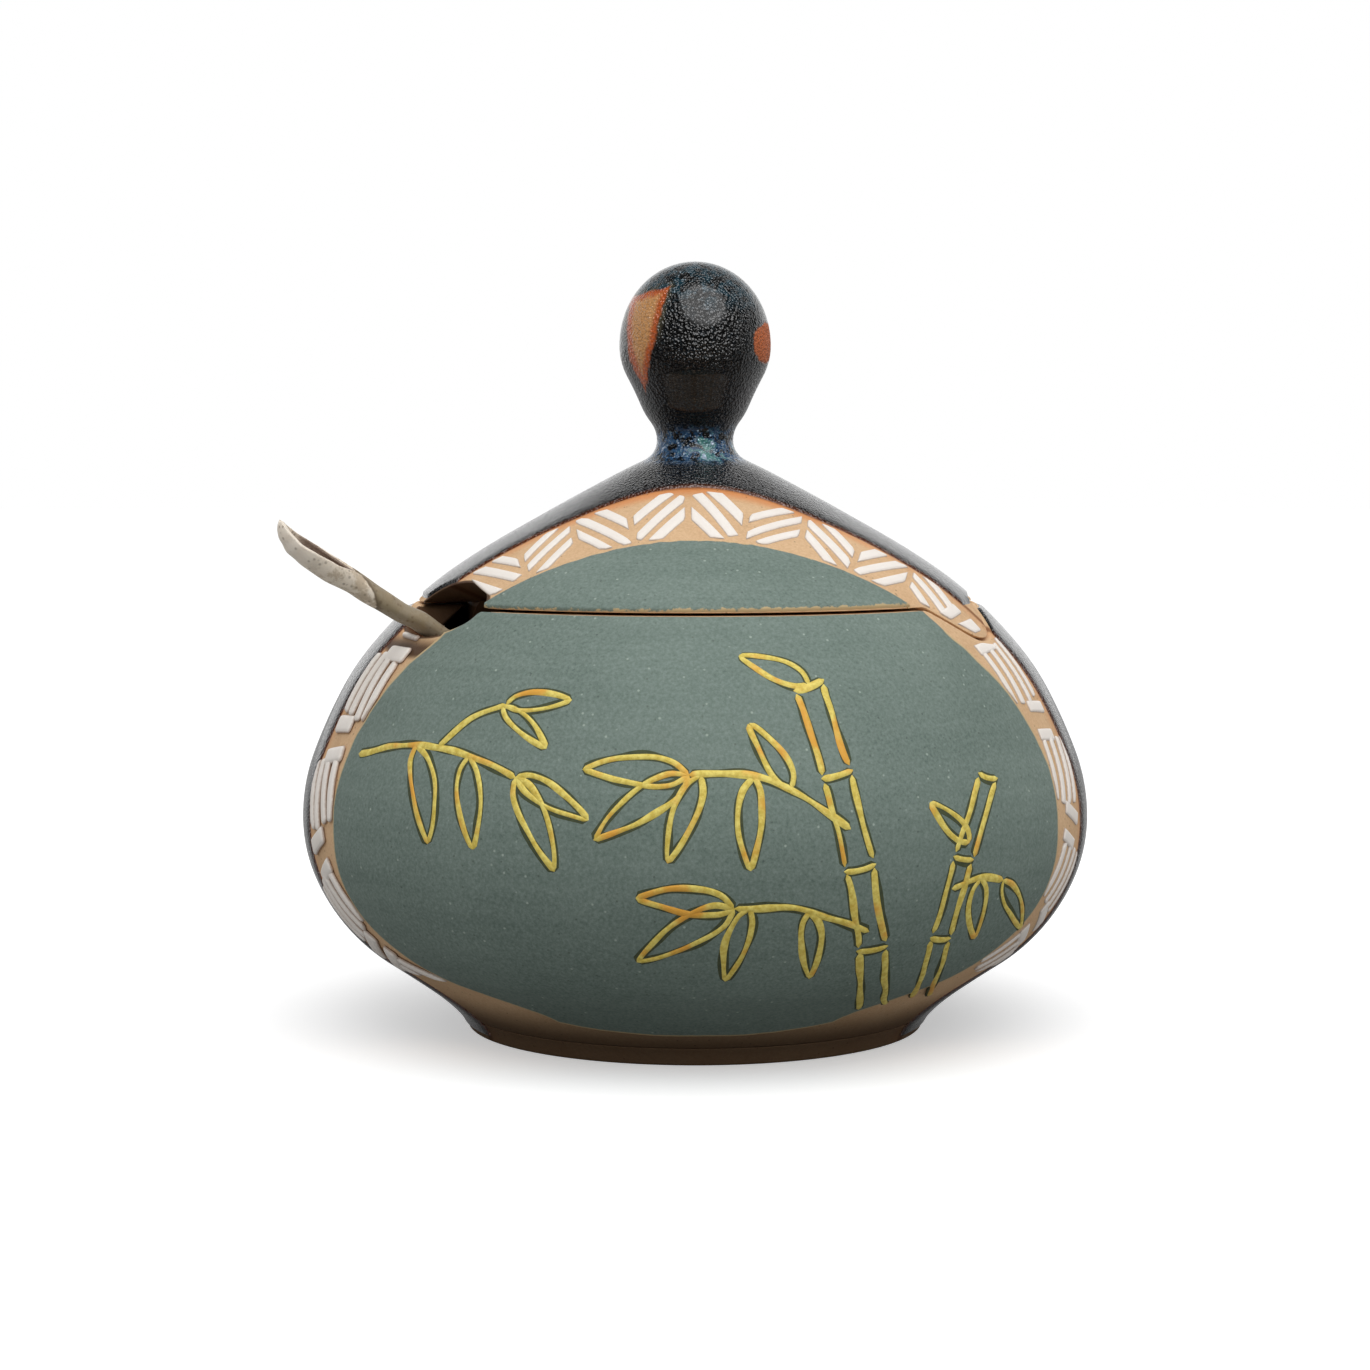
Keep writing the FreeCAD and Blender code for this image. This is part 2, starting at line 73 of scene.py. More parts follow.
slot_half_width = 10.0 * mm
slot_half_height = 5.3 * mm
stem_thickness = 3.0 * mm
leaf_length = 24.0 * mm
bowl_length = 26.0 * mm
bowl_centre = -30.562 * mm
spoon_clearance = 0.3 * mm

# The drawn seam, the bare edges beside it, the lips over which the coats thin out, the
# rounding of the clay's cut edges, and the distance within which points are merged
seam_gap = 0.42 * mm
jar_slip_edge = 0.12 * mm
lid_slip_edge = 0.20 * mm
glaze_edge = 0.55 * mm
stroke_edge = 0.5 * mm
slip_lip = 0.5 * mm
glaze_lip = 2.2 * mm
stroke_lip = 0.42 * mm
clay_rounding = 0.32 * mm
weld_distance = 0.002 * mm

# Outlines in shares of a radius and a height, with the heading in degrees
jar_outside = (
    (0.5866, 0.0000, 76.91), (0.6021, 0.0361, 47.44), (0.7033, 0.1176, 33.10),
    (0.8919, 0.2508, 46.23), (1.0000, 0.5000, 90.00), (0.8997, 0.7915, 120.19),
    (0.7358, 0.9812, 138.18),
)
lid_outside = ((0.4717, 0.4121, 125.82), (0.1990, 0.7762, 128.10))
knob_outside = (
    (0.7168, 0.1962, 44.99), (1.0000, 0.5283, 90.00), (0.7168, 0.8604, 154.35),
    (0.0000, 1.0000, 180.00),
)
# The green panel's half width in shares of the radius there, and the height
panel_outline = (
    (0.4840, 0.103), (0.7314, 0.192), (0.8300, 0.280), (0.8679, 0.375),
    (0.8769, 0.510), (0.8795, 0.670), (0.8437, 0.835), (0.7467, 1.030),
)
panel_foot = 0.080 * seam_height


# Turned outlines. A station is (radius, height, heading in degrees)
def turning_points(shares, radius, base, height):
    points = []
    for across, up, heading in shares:
        turn = math.radians(heading)
        lean = math.atan2(math.sin(turn) * height, math.cos(turn) * radius)
        points.append((across * radius, base + up * height, math.degrees(lean)))
    return points


def meeting(start, end):
    """Where two tangent arcs from start to end meet."""
    start_turn, end_turn = math.radians(start[2]), math.radians(end[2])
    across = math.cos(start_turn) + math.cos(end_turn)
    up = math.sin(start_turn) + math.sin(end_turn)
    run_across, run_up = end[0] - start[0], end[1] - start[1]
    along = run_across * across + run_up * up
    bend = 2 * (1 - math.cos(end_turn - start_turn))
    span = run_across ** 2 + run_up ** 2
    reach = (math.sqrt(along ** 2 + bend * span) - along) / bend
    first = (start[0] + reach * math.cos(start_turn), start[1] + reach * math.sin(start_turn))
    second = (end[0] - reach * math.cos(end_turn), end[1] - reach * math.sin(end_turn))
    heading = math.degrees(math.atan2(second[1] - first[1], second[0] - first[0]))
    return ((first[0] + second[0]) / 2, (first[1] + second[1]) / 2, heading)


def along_arc(start, end, step):
    """Stations on the arc from start up to end, about a step apart."""
    first = math.radians(start[2])
    turn = math.radians(end[2] - start[2])
    chord = math.hypot(end[0] - start[0], end[1] - start[1])
    count = max(2, math.ceil(chord / step))
    radius = chord / (2 * math.sin(turn / 2))
    stations = []
    for index in range(count):
        heading = first + turn * index / count
        across = start[0] + radius * (math.sin(heading) - math.sin(first))
        up = start[1] - radius * (math.cos(heading) - math.cos(first))
        stations.append((across, up, math.degrees(heading)))
    return stations


def bracket(marks, mark):
    """Index of the mark above a place, and the share of the way to it from the one below."""
    index = min(max(bisect.bisect_right(marks, mark), 1), len(marks) - 1)
    low, high = marks[index - 1], marks[index]
    return index, min(max((mark - low) / (high - low), 0.0), 1.0)


def mixed(first, second, share):
    """The numbers of first, taken towards those of second by a share."""
    return tuple(a + (b - a) * share for a, b in zip(first, second))


def narrowed(low, high, rounds, before):
    """Two places close round the one at which a test stops being true."""
    for _ in range(rounds):
        middle = (low + high) / 2
        if before(middle):
            low = middle
        else:
            high = middle
    return low, high


def moved(station, out):
    """A station moved outwards, square to its heading."""
    turn = math.radians(station[2])
    return (station[0] + out * math.sin(turn), station[1] - out * math.cos(turn), station[2])


class Outline:
    """A smooth outline through turning points, read by the length along it."""

    def __init__(self, keys, step=0.25 * mm, shift=0.0):
        stations = []
        for start, end in zip(keys, keys[1:]):
            joint = meeting(start, end)
            stations += along_arc(start, joint, step) + along_arc(joint, end, step)
        stations.append(keys[-1])
        self.stations = [moved(station, shift) for station in stations]
        self.lengths = [0.0]
        for before, after in zip(self.stations, self.stations[1:]):
            gap = math.hypot(after[0] - before[0], after[1] - before[1])
            self.lengths.append(self.lengths[-1] + gap)
        self.heights = [station[1] for station in self.stations]

    def at(self, length):
        index, share = bracket(self.lengths, length)
        return mixed(self.stations[index - 1], self.stations[index], share)

    def length_at(self, height):
        index, share = bracket(self.heights, height)
        return self.lengths[index - 1] + (self.lengths[index] - self.lengths[index - 1]) * share

    def at_height(self, height):
        return self.at(self.length_at(height))

    def length_where(self, before):
        """Length at which a test of the station stops being true."""
        return sum(narrowed(0.0, self.lengths[-1], 22, lambda length: before(self.at(length)))) / 2


lidded_height = seam_height + lid_height
outside_keys = turning_points(jar_outside, belly_radius, 0.0, seam_height)
outside_keys += turning_points(lid_outside, belly_radius, seam_height, lid_height)
outside = Outline(outside_keys + [(neck_radius, lidded_height, 90.0)])
knob_foot = (neck_radius + glaze_thickness, lidded_height, 90.0)
knob_line = Outline([knob_foot] + turning_points(
    knob_outside, knob_radius, lidded_height, knob_height))
mouth_radius = outside.at_height(seam_height)[0]

inner_sides = Outline(outside_keys[2:-1], shift=-wall)
inner_foot, inner_top = inner_sides.stations[0], inner_sides.stations[-1]
floor_edge_share, ceiling_share, crown_share, crown_rise = 0.82, 0.5732, 0.1372, 1.1 * mm
ceiling_height = seam_height + lid_height * ceiling_share
hollow = Outline([(inner_foot[0] * floor_edge_share, floor_height, 0.0), inner_foot])
hollow_ceiling = Outline([
    inner_top, (belly_radius * crown_share, ceiling_height, 165.0),
    (0.0, ceiling_height + crown_rise, 180.0),
])


def on_pot(azimuth, station, out):
    """A point at an azimuth on the pot's outside, lifted off it by out."""
    reach, up, _ = moved(station, out)
    return Vector((reach * math.sin(azimuth), -reach * math.cos(azimuth), up))


def plan_of(azimuth, radius):
    return Vector((radius * math.sin(azimuth), -radius * math.cos(azimuth), 0.0))


# Where the lid was cut from the jar: the seam, the key's lobe and the spoon's slot
key_out = plan_of(key_azimuth, 1.0)
key_across = plan_of(key_azimuth + math.pi / 2, 1.0)
spoon_plan = plan_of(spoon_azimuth, 1.0)
spoon_across_plan = plan_of(spoon_azimuth + math.pi / 2, 1.0)
spoon_axis_height = seam_height - spoon_drop - mouth_radius * math.tan(spoon_slope)
slot_centre = slot_half_height - stem_thickness / 2 - spoon_clearance
spoon_base = Vector((0.0, 0.0, spoon_axis_height))
spoon_along = spoon_plan * math.cos(spoon_slope) + Vector((0, 0, math.sin(spoon_slope)))
spoon_up = Vector((0, 0, math.cos(spoon_slope))) - spoon_plan * math.sin(spoon_slope)
spoon_across = spoon_up.cross(spoon_along)
lobe_keys = [
    (-key_half_width, 0.0, -38.0), (0.0, -key_depth, 0.0), (key_half_width, 0.0, 38.0),
]


class Lobe:
    """Lower edge of the key's lobe, grown or shrunk, by the distance across it."""

    def __init__(self, grow):
        stations = Outline(lobe_keys, shift=grow).stations
        self.across = [station[0] for station in stations]
        self.up = [station[1] for station in stations]

    def height(self, across):
        if not self.across[0] < across < self.across[-1]:
            return None
        index, share = bracket(self.across, across)
        return seam_height + self.up[index - 1] + (self.up[index] - self.up[index - 1]) * share


lobes = {}


def lobe_height(place, grow):
    if place.dot(key_out) <= 0:
        return None
    if grow not in lobes:
        lobes[grow] = Lobe(grow)
    return lobes[grow].height(place.dot(key_across))


def slot_height(place, grow, side):
    """Height of the slot's lower (-1) or upper (1) edge over a place, or None beside it."""
    wide, tall = slot_half_width + grow, slot_half_height + grow
    across, along = place.dot(spoon_across_plan), place.dot(spoon_plan)
    if abs(across) >= wide or along <= 0:
        return None
    rise = slot_centre + side * tall * math.sqrt(1 - (across / wide) ** 2)
    return spoon_axis_height + (rise + along * math.sin(spoon_slope)) / math.cos(spoon_slope)


def jar_cut(place, inset):
    height = seam_height - seam_gap / 2 - inset
    lobe = lobe_height(place, key_clearance + inset)
    scoop = slot_height(place, inset, -1)
    return min(h for h in (height, lobe, scoop) if h is not None)


def lid_cut(place, inset):
    height = seam_height + seam_gap / 2 + inset
    lobe = lobe_height(place, -inset)
    arch = slot_height(place, inset, 1)
    if lobe is not None:
        height = min(height, lobe)
    return height if arch is None else max(height, arch)


def cut_lengths(outline, cut, inset, low, high, count=720):
    """Length along the outline at which the cut meets it, all the way round."""
    marks = []
    for index in range(count):
        azimuth = full_turn * index / count

        def below_cut(length):
            radius, height, _ = outline.at(length)
            return height < cut(plan_of(azimuth, radius), inset)

        marks.append(sum(narrowed(low, high, 16, below_cut)) / 2)
    return marks


def round_mark(marks, azimuth):
    """The mark at an azimuth, between its two neighbours."""
    place = (azimuth / full_turn % 1.0) * len(marks)
    index = int(place) % len(marks)
    share = place - int(place)
    return marks[index] + (marks[(index + 1) % len(marks)] - marks[index]) * share


# Modelling
def alone(piece):
    bpy.ops.object.select_all(action="DESELECT")
    piece.select_set(True)
    bpy.context.view_layer.objects.active = piece


def in_edit_mode(piece, *steps):
    """Runs edit-mode steps on everything in a piece."""
    alone(piece)
    bpy.ops.object.mode_set(mode="EDIT")
    bpy.ops.mesh.select_all(action="SELECT")
    for step in steps:
        step()
    bpy.ops.object.mode_set(mode="OBJECT")


def welded():
    bpy.ops.mesh.remove_doubles(threshold=weld_distance)


def tidied():
    welded()
    bpy.ops.mesh.normals_make_consistent(inside=False)


def finished(piece, kind, **settings):
    """Adds a modifier, sets it and applies it."""
    alone(piece)
    modifier = piece.modifiers.new(kind.lower(), kind)
    for name, value in settings.items():
        setattr(modifier, name, value)
    bpy.ops.object.modifier_apply(modifier=modifier.name)


def softened(piece, width, segments=2, angle=35.0):
    finished(piece, "BEVEL", width=width, segments=segments, limit_method="ANGLE",
             angle_limit=math.radians(angle), use_clamp_overlap=False)


def smoothed(piece, angle=40.0):
    alone(piece)
    bpy.ops.object.shade_smooth_by_angle(angle=math.radians(angle))


def turned(name, points, steps):
    """A line drawn point by point in the XZ plane and spun round the pot's axis."""
    bpy.ops.object.select_all(action="DESELECT")
    start = Vector((points[0][0], 0.0, points[0][1]))
    bpy.ops.mesh.primitive_plane_add(size=mm, location=start)
    piece = bpy.context.object
    piece.name = name
    bpy.ops.object.transform_apply(location=True, rotation=False, scale=False)
    bpy.ops.object.mode_set(mode="EDIT")
    bpy.ops.mesh.select_all(action="SELECT")
    bpy.ops.mesh.merge(type="CENTER")
    for before, after in zip(points, points[1:]):
        step = (after[0] - before[0], 0.0, after[1] - before[1])
        bpy.ops.mesh.extrude_vertices_move(TRANSFORM_OT_translate={"value": step})
    bpy.ops.mesh.select_all(action="SELECT")
    bpy.ops.mesh.spin(steps=steps, angle=full_turn, center=(0, 0, 0), axis=(0, 0, 1))
    bpy.ops.mesh.select_all(action="SELECT")
    tidied()
    bpy.ops.object.mode_set(mode="OBJECT")
    return piece


def laid_grid(name, columns, rows, place):
    """A grid laid by a function of its shares across and up.

    The function gives the point and how far in from the coat's edge it lies, in millimetres;
    that distance goes into the UVs, where the finishes find it.
    """
    bpy.ops.object.select_all(action="DESELECT")
    bpy.ops.mesh.primitive_grid_add(x_subdivisions=columns, y_subdivisions=rows, size=1.0)
    piece = bpy.context.object
    piece.name = name
    insets = []
    for vertex in piece.data.vertices:
        vertex.co, inset = place(vertex.co.x + 0.5, vertex.co.y + 0.5)
        insets.append(inset / mm)
    uvs = piece.data.uv_layers.active.data
    for loop in piece.data.loops:
        uvs[loop.index].uv = (insets[loop.vertex_index], 0.0)
    return piece


def skinned(piece, depth):
    """Gives a laid sheet its depth into the clay and closes it."""
    in_edit_mode(piece, welded)
    out = sum(p.normal.dot(Vector((p.center.x, p.center.y, 0.3 * (p.center.z - 0.03)))) * p.area
              for p in piece.data.polygons)
    if out < 0:
        in_edit_mode(piece, bpy.ops.mesh.flip_normals)
    finished(piece, "SOLIDIFY", thickness=depth, offset=-1.0)
    in_edit_mode(piece, tidied)


def joined(name, pieces):
    bpy.ops.object.select_all(action="DESELECT")
    for piece in pieces:
        piece.select_set(True)
    bpy.context.view_layer.objects.active = pieces[0]
    bpy.ops.object.join()
    pieces[0].name = name
    return pieces[0]


def lip(distance, width):
    """Share of a coat's thickness at a distance in from its rounded edge."""
    if distance >= width:
        return 1.0
    return math.sqrt(max(0.0, 1 - (1 - distance / width) ** 2))


def edged(share, count, length, width, steps=4):
    """Distance along a run whose first and last steps fall within the rounded edges."""
    index = share * count
    edge = min(width, length * 0.3)
    if index <= steps:
        return edge * index / steps
    if index >= count - steps:
        return length - edge * (count - index) / steps
    return edge + (length - 2 * edge) * (index - steps) / (count - 2 * steps)


def wander(place, size, amount):
    """A small unevenness of the hand, from smooth noise."""
    return noise.noise(place / size) * amount


# Spoon handle along its own axis
handle_start = bowl_centre + bowl_length / 2 - 4.0 * mm
handle_end = (mouth_radius + spoon_out) / math.cos(spoon_slope) + 0.5 * mm


# Shader building
def srgb(red, green, blue):
    """A colour read off a screen, 0 to 255, as a shader colour."""
    return tuple(((v / 255 + 0.055) / 1.055) ** 2.4 if v > 10 else v / 255 / 12.92
                 for v in (red, green, blue)) + (1.0,)


class Signal:
    """A shader socket that takes part in arithmetic."""

    def __init__(self, graph, socket):
        self.graph, self.socket = graph, socket

    def maths(self, operation, first, second):
        return self.graph.node("ShaderNodeMath", {"operation": operation}, {0: first, 1: second})

    def __add__(self, other):
        return self.maths("ADD", self, other)

    def __sub__(self, other):
        return self.maths("SUBTRACT", self, other)

    def __rsub__(self, other):
        return self.maths("SUBTRACT", other, self)

    def __mul__(self, other):
        return self.maths("MULTIPLY", self, other)

    def __truediv__(self, other):
        return self.maths("DIVIDE", self, other)

    def __pow__(self, other):
        return self.maths("POWER", self, other)

    __radd__ = __add__
    __rmul__ = __mul__

    def or_less(self, other):
        return self.maths("MINIMUM", self, other)

    def or_more(self, other):
        return self.maths("MAXIMUM", self, other)


class Graph:
    """A node tree, with what the finishes and the world have in common."""

    def __init__(self, tree):
        self.tree = tree

    def node(self, kind, settings=None, inputs=None, output=0):
        node = self.tree.nodes.new(kind)
        for name, value in (settings or {}).items():
            setattr(node, name, value)
        for name, value in (inputs or {}).items():
            if isinstance(value, Signal):
                self.tree.links.new(value.socket, node.inputs[name])
            else:
                node.inputs[name].default_value = value
        return Signal(self, node.outputs[output])

    def parts(self, vector):
        """The three parts of a vector."""
        outputs = self.node("ShaderNodeSeparateXYZ", {}, {0: vector}).socket.node.outputs
        return [Signal(self, output) for output in outputs]

    def dot(self, first, second):
        return self.node("ShaderNodeVectorMath", {"operation": "DOT_PRODUCT"},
                         {0: first, 1: second}, output=1)

    def rise(self, value, low, high, first=0.0, last=1.0):
        """First below low, last above high, eased between; low may be the higher."""
        return self.node("ShaderNodeMapRange", {"interpolation_type": "SMOOTHSTEP"}, {
            "Value": value, "From Min": low, "From Max": high, "To Min": first, "To Max": last})


class Finish(Graph):
    """One finish: its shader, and the patterns that are laid in the object's metres."""

    def __init__(self, name, **constants):
        self.material = bpy.data.materials.new(name)
        self.material.use_nodes = True
        super().__init__(self.material.node_tree)
        self.shader = self.tree.nodes["Principled BSDF"]
        for socket, value in constants.items():
            self.shader.inputs[socket.replace("_", " ")].default_value = value
        self.place = self.node("ShaderNodeTexCoord", output="Object")
        self.x, self.y, self.z = self.parts(self.place)
        self.inset = self.parts(self.node("ShaderNodeTexCoord", output="UV"))[0]

    def noise(self, size, detail=2.0, stretch=(1, 1, 1), rough=0.5):
        """Smooth noise, 0 to 1, whose features are about a size across."""
        place = self.place
        if stretch != (1, 1, 1):
            place = self.node("ShaderNodeMapping", {}, {"Vector": place, "Scale": stretch})
        return self.node("ShaderNodeTexNoise", {}, {
            "Vector": place, "Scale": 1 / size, "Detail": detail, "Roughness": rough})

    def cells(self, size, output="Distance"):
        return self.node("ShaderNodeTexVoronoi", {}, {"Vector": self.place, "Scale": 1 / size},
                         output=output)

    def chance(self, size):
        """A random number, 0 to 1, for each small cell."""
        colour = self.cells(size, "Color")
        return self.node("ShaderNodeSeparateColor", {}, {0: colour})

    def specks(self, size, edges, chances):
        """Round specks in some of the cells of a size."""
        return self.rise(self.cells(size), *edges) * self.rise(self.chance(size), *chances)

    def blend(self, share, first, second):
        """The second colour over the first by a share."""
        return self.node("ShaderNodeMix", {"data_type": "RGBA"}, {0: share, 6: first, 7: second},
                         output=2)

    def layers(self, colour, *coats):
        """A colour with others laid over it, each by its share."""
        for share, over in coats:
            colour = self.blend(share, colour, over)
        return colour

    def completed(self, colour, roughness, height, distance, strength):
        """Puts in the colour, the roughness and the small relief, a distance high."""
        self.put("Base Color", colour)
        self.put("Roughness", roughness)
        self.put("Normal", self.node("ShaderNodeBump", {}, {
            "Height": height, "Distance": distance, "Strength": strength}))
        return self.material

    def put(self, socket, value):
        self.tree.links.new(value.socket, self.shader.inputs[socket])

    def in_front_of_glaze(self):
        """Distance in front of the dipping line."""
        return (self.z * glaze_line_lean - self.y) - mouth_radius * glaze_line_share

    def oval(self, x, z, wide, tall):
        """Distance from a point seen from the front, 1 on an oval round it."""
        across, up = (self.x - x) / wide, (self.z - z) / tall
        return (up * up + across * across) ** 0.5

    def wedge(self):
        """Millimetres inside the rust patch on the knob's left, seen from the front."""
        across, up = self.x / mm, self.z / mm - 104.5
        right = up * up * 0.008 + up * 0.27 - 5.5 - across
        left = across + 10.1 - up * up * 0.0297
        top = across * 0.23 + 6.5 - up
        return right.or_less(left).or_less(top)

    def along(self, direction, base=(0, 0, 0)):
        """Distance from a base along a direction."""
        from_base = self.node("ShaderNodeVectorMath", {"operation": "SUBTRACT"},
                              {0: self.place, 1: base})
        return self.dot(from_base, direction)

    def round_slot(self):
        """1 on the spoon slot's cut, less inside it; large away from it."""
        across = self.along(spoon_across) / slot_half_width
        up = (self.along(spoon_up, spoon_base) - slot_centre) / slot_half_height
        behind = self.rise(self.along(spoon_along, spoon_base), 30 * mm, 25 * mm)
        return across * across + up * up + behind * 9


def sage_slip():
    slip = Finish("sage_slip", Specular_IOR_Level=0.3)
    clouds = slip.noise(14 * mm, 3)
    streaks = slip.noise(9 * mm, 3, (0.35, 0.35, 5.0))
    grain = slip.noise(0.45 * mm, 2, rough=0.7)
    ragged = slip.noise(1.1 * mm, 3, rough=0.6)
    tone = clouds * 0.35 + streaks * 0.35 + grain * 1.5 - 0.6
    on_jar = slip.rise(slip.z, 62.5 * mm, 60 * mm)
    on_lid = slip.rise(slip.z, 63.4 * mm, 63.8 * mm)
    # The cream rim is partly the slip thinning over the clay and partly a painted highlight along the
    # panel's cut edges: wider on the jar, ragged along the lid's lower edge.
    seam_rim_and_highlight = slip.rise(slip.x, -20 * mm, 8 * mm) * 0.30 + (ragged - 0.55) * 1.6
    rim_and_highlight_width = on_jar * 0.6 + on_lid * seam_rim_and_highlight + 0.1
    rim = slip.rise(slip.inset + grain * 0.25 - rim_and_highlight_width, 0.2, 0.0)
    colour = slip.layers(
        slip.blend(tone, srgb(92, 109, 101), srgb(138, 153, 145)),
        (slip.specks(1.5 * mm, (0.17, 0.06), (0.70, 0.76)) * 0.5, srgb(196, 208, 196)),
        (slip.specks(1.3 * mm, (0.16, 0.08), (0.6, 0.65)) * 0.45, srgb(62, 70, 62)),
        (rim * 0.9, srgb(206, 180, 134)),
    )
    return slip.completed(colour, 0.55 + grain * 0.2, grain + streaks * 0.4, 0.06 * mm, 0.5)


def bare_clay():
    clay = Finish("bare_clay", Specular_IOR_Level=0.15)
    clouds = clay.noise(6 * mm, 3)
    grain = clay.noise(0.4 * mm, 3, rough=0.7)
    front = clay.in_front_of_glaze()
    high = clay.rise(clay.z, 66 * mm, 82 * mm)
    beside = clay.rise(front, -1.6 * mm, -0.6 * mm)
    halo = clay.rise(front, 3.2 * mm, 0.5 * mm) * (0.3 + high * 0.65) * beside
    burn = clay.rise(front + clouds * 0.8 * mm, 1.1 * mm, 0.2 * mm) * beside
    round_slot = clay.round_slot()
    radius = (clay.x * clay.x + clay.y * clay.y) ** 0.5
    depth = mouth_radius - radius - (clay.z - seam_height) * 1.2
    cut_face = clay.rise(depth, 0.7 * mm, 1.3 * mm) * clay.rise(round_slot, 3.4, 2.6)
    slot = clay.rise(round_slot + clouds * 0.12, 1.30, 1.20)
    slot = 1 - (1 - slot) * (1 - cut_face)
    tone = clouds * 0.5 + grain * 0.9 - 0.2
    colour = clay.layers(
        clay.blend(tone, srgb(194, 152, 112), srgb(240, 208, 168)),
        (halo * 0.8, srgb(218, 132, 66)),
        (burn * 0.75, srgb(112, 60, 28)),
        # Painted shade: the clay darkens to brown below 9 mm, where the lower wall and foot turn away
        # from the light.
        (clay.rise(clay.z, 9 * mm, 3 * mm) * 0.85, srgb(66, 46, 30)),
        (clay.specks(1.1 * mm, (0.18, 0.08), (0.62, 0.68)) * 0.5, srgb(74, 52, 36)),
        (slot * 0.9, clay.blend(clouds, srgb(12, 7, 4), srgb(78, 42, 20))),
    )
    return clay.completed(colour, 0.72 + grain * 0.2 - slot * 0.3, grain, 0.08 * mm, 0.6)


def black_glaze():
    glaze = Finish("black_glaze", Coat_Weight=0.35, Coat_Roughness=0.10, Specular_IOR_Level=0.5)
    clouds = glaze.noise(7 * mm, 4)
    pits = glaze.noise(0.55 * mm, 2, rough=0.6)
    facets = glaze.cells(0.42 * mm)
    fleck = glaze.rise(glaze.chance(0.30 * mm), 0.88, 0.96)
    tint = glaze.noise(1.5 * mm, 4, rough=0.6)
    neck = glaze.rise(glaze.z, 83.8 * mm, 85.2 * mm) * glaze.rise(glaze.z, 90.4 * mm, 87.8 * mm)
    crown = glaze.rise(glaze.z, 105 * mm, 111 * mm)
    front = glaze.in_front_of_glaze()
    lid_only = glaze.rise(glaze.z, 91 * mm, 88 * mm)
    thin = glaze.rise(front + clouds * 0.6 * mm, -0.4 * mm, 0.4 * mm) * lid_only
    in_front = glaze.rise(glaze.y, 4 * mm, 0.0)
    wobble = (clouds - 0.5) * 1.3 + (tint - 0.5) * 0.9
    left = glaze.wedge() - wobble
    right = glaze.oval(10.6 * mm, 102.0 * mm, 1.9 * mm, 3.0 * mm) + wobble * 0.5
    smoke = glaze.rise(left, -1.1, -0.2) * in_front * glaze.rise(glaze.z, 101 * mm, 105 * mm)
    rust_right = glaze.rise(right, 1.06, 0.90) * in_front
    colour = glaze.layers(
        glaze.blend(clouds, srgb(3, 3, 4), srgb(13, 12, 11)),
        (smoke * 0.6, srgb(92, 84, 62)),
        (glaze.rise(tint, 0.55, 0.70) * 0.5, srgb(14, 24, 34)),
        (crown * glaze.rise(tint, 0.45, 0.60), srgb(26, 58, 70)),
        (neck * glaze.rise(tint, 0.42, 0.52), srgb(44, 84, 122)),
        (neck * glaze.rise(clouds + tint, 1.06, 1.20), srgb(84, 142, 136)),
        (neck * glaze.rise(tint, 0.60, 0.68), srgb(168, 184, 206)),
        (fleck * (0.06 + neck * 0.6 + crown * 0.2), srgb(150, 172, 186)),
        (rust_right, srgb(188, 100, 54)),
        (glaze.rise(left, -0.25, 0.25) * in_front, srgb(190, 92, 42)),
        (glaze.rise(left, 0.4, 1.3) * in_front, srgb(206, 150, 94)),
        (thin * 0.9, srgb(104, 52, 22)),
    )
    glaze.put("Metallic", fleck * 0.3)
    glaze.put("Coat Weight", 0.35 - rust_right * 0.35)
    return glaze.completed(colour, 0.07 + pits * 0.18 + rust_right * 0.5,
                           pits * 0.9 + facets * 1.2 + clouds * 0.5, 0.20 * mm, 1.0)


def white_slip():
    slip = Finish("white_slip", Specular_IOR_Level=0.35)
    grain = slip.noise(0.5 * mm, 3, rough=0.6)
    clouds = slip.noise(4 * mm, 2)
    # Painted shade: a brown line along the strokes' edges stands in for the shading at their raised
    # rims.
    rim = slip.rise(slip.inset + grain * 0.1, 0.22, 0.06)
    colour = slip.layers(
        slip.blend(clouds * 0.6 + grain * 0.5, srgb(240, 229, 218), srgb(254, 249, 243)),
        (rim * 0.7, srgb(150, 118, 92)),
    )
    return slip.completed(colour, 0.5 + grain * 0.2, grain + clouds, 0.10 * mm, 0.6)


def gold_inlay():
    inlay = Finish("gold_inlay", Specular_IOR_Level=0.45)
    tint = inlay.noise(7 * mm, 3)
    grain = inlay.noise(0.8 * mm, 3, rough=0.6)
    colour = inlay.layers(
        inlay.blend(inlay.rise(grain, 0.3, 0.7), srgb(214, 188, 78), srgb(244, 226, 122)),
        (inlay.rise(tint, 0.50, 0.64) * 0.85, srgb(232, 162, 56)),
    )
    return inlay.completed(colour, 0.45 + grain * 0.2, grain, 0.10 * mm, 0.6)


# Painted shade: a dark olive strip laid under the inlaid lines, standing in for the shadow in the
# grooves they sit in.
def painted_groove_shade():
    groove = Finish("painted_groove_shade", Specular_IOR_Level=0.2)
    grain = groove.noise(0.6 * mm, 2)
    groove.put("Base Color", groove.blend(grain, srgb(58, 66, 50), srgb(92, 98, 72)))
    groove.put("Roughness", 0.6 + grain * 0.3)
    return groove.material


def liner_glaze():
    glaze = Finish("liner_glaze", Coat_Weight=0.5, Coat_Roughness=0.08)
    pits = glaze.noise(0.8 * mm, 3)
    colour = glaze.layers(
        glaze.blend(glaze.noise(8 * mm, 4), srgb(22, 17, 14), srgb(60, 40, 27)),
        (glaze.rise(pits, 0.62, 0.75) * 0.5, srgb(120, 82, 50)),
    )
    return glaze.completed(colour, 0.2 + pits * 0.2, pits, 0.1 * mm, 0.4)


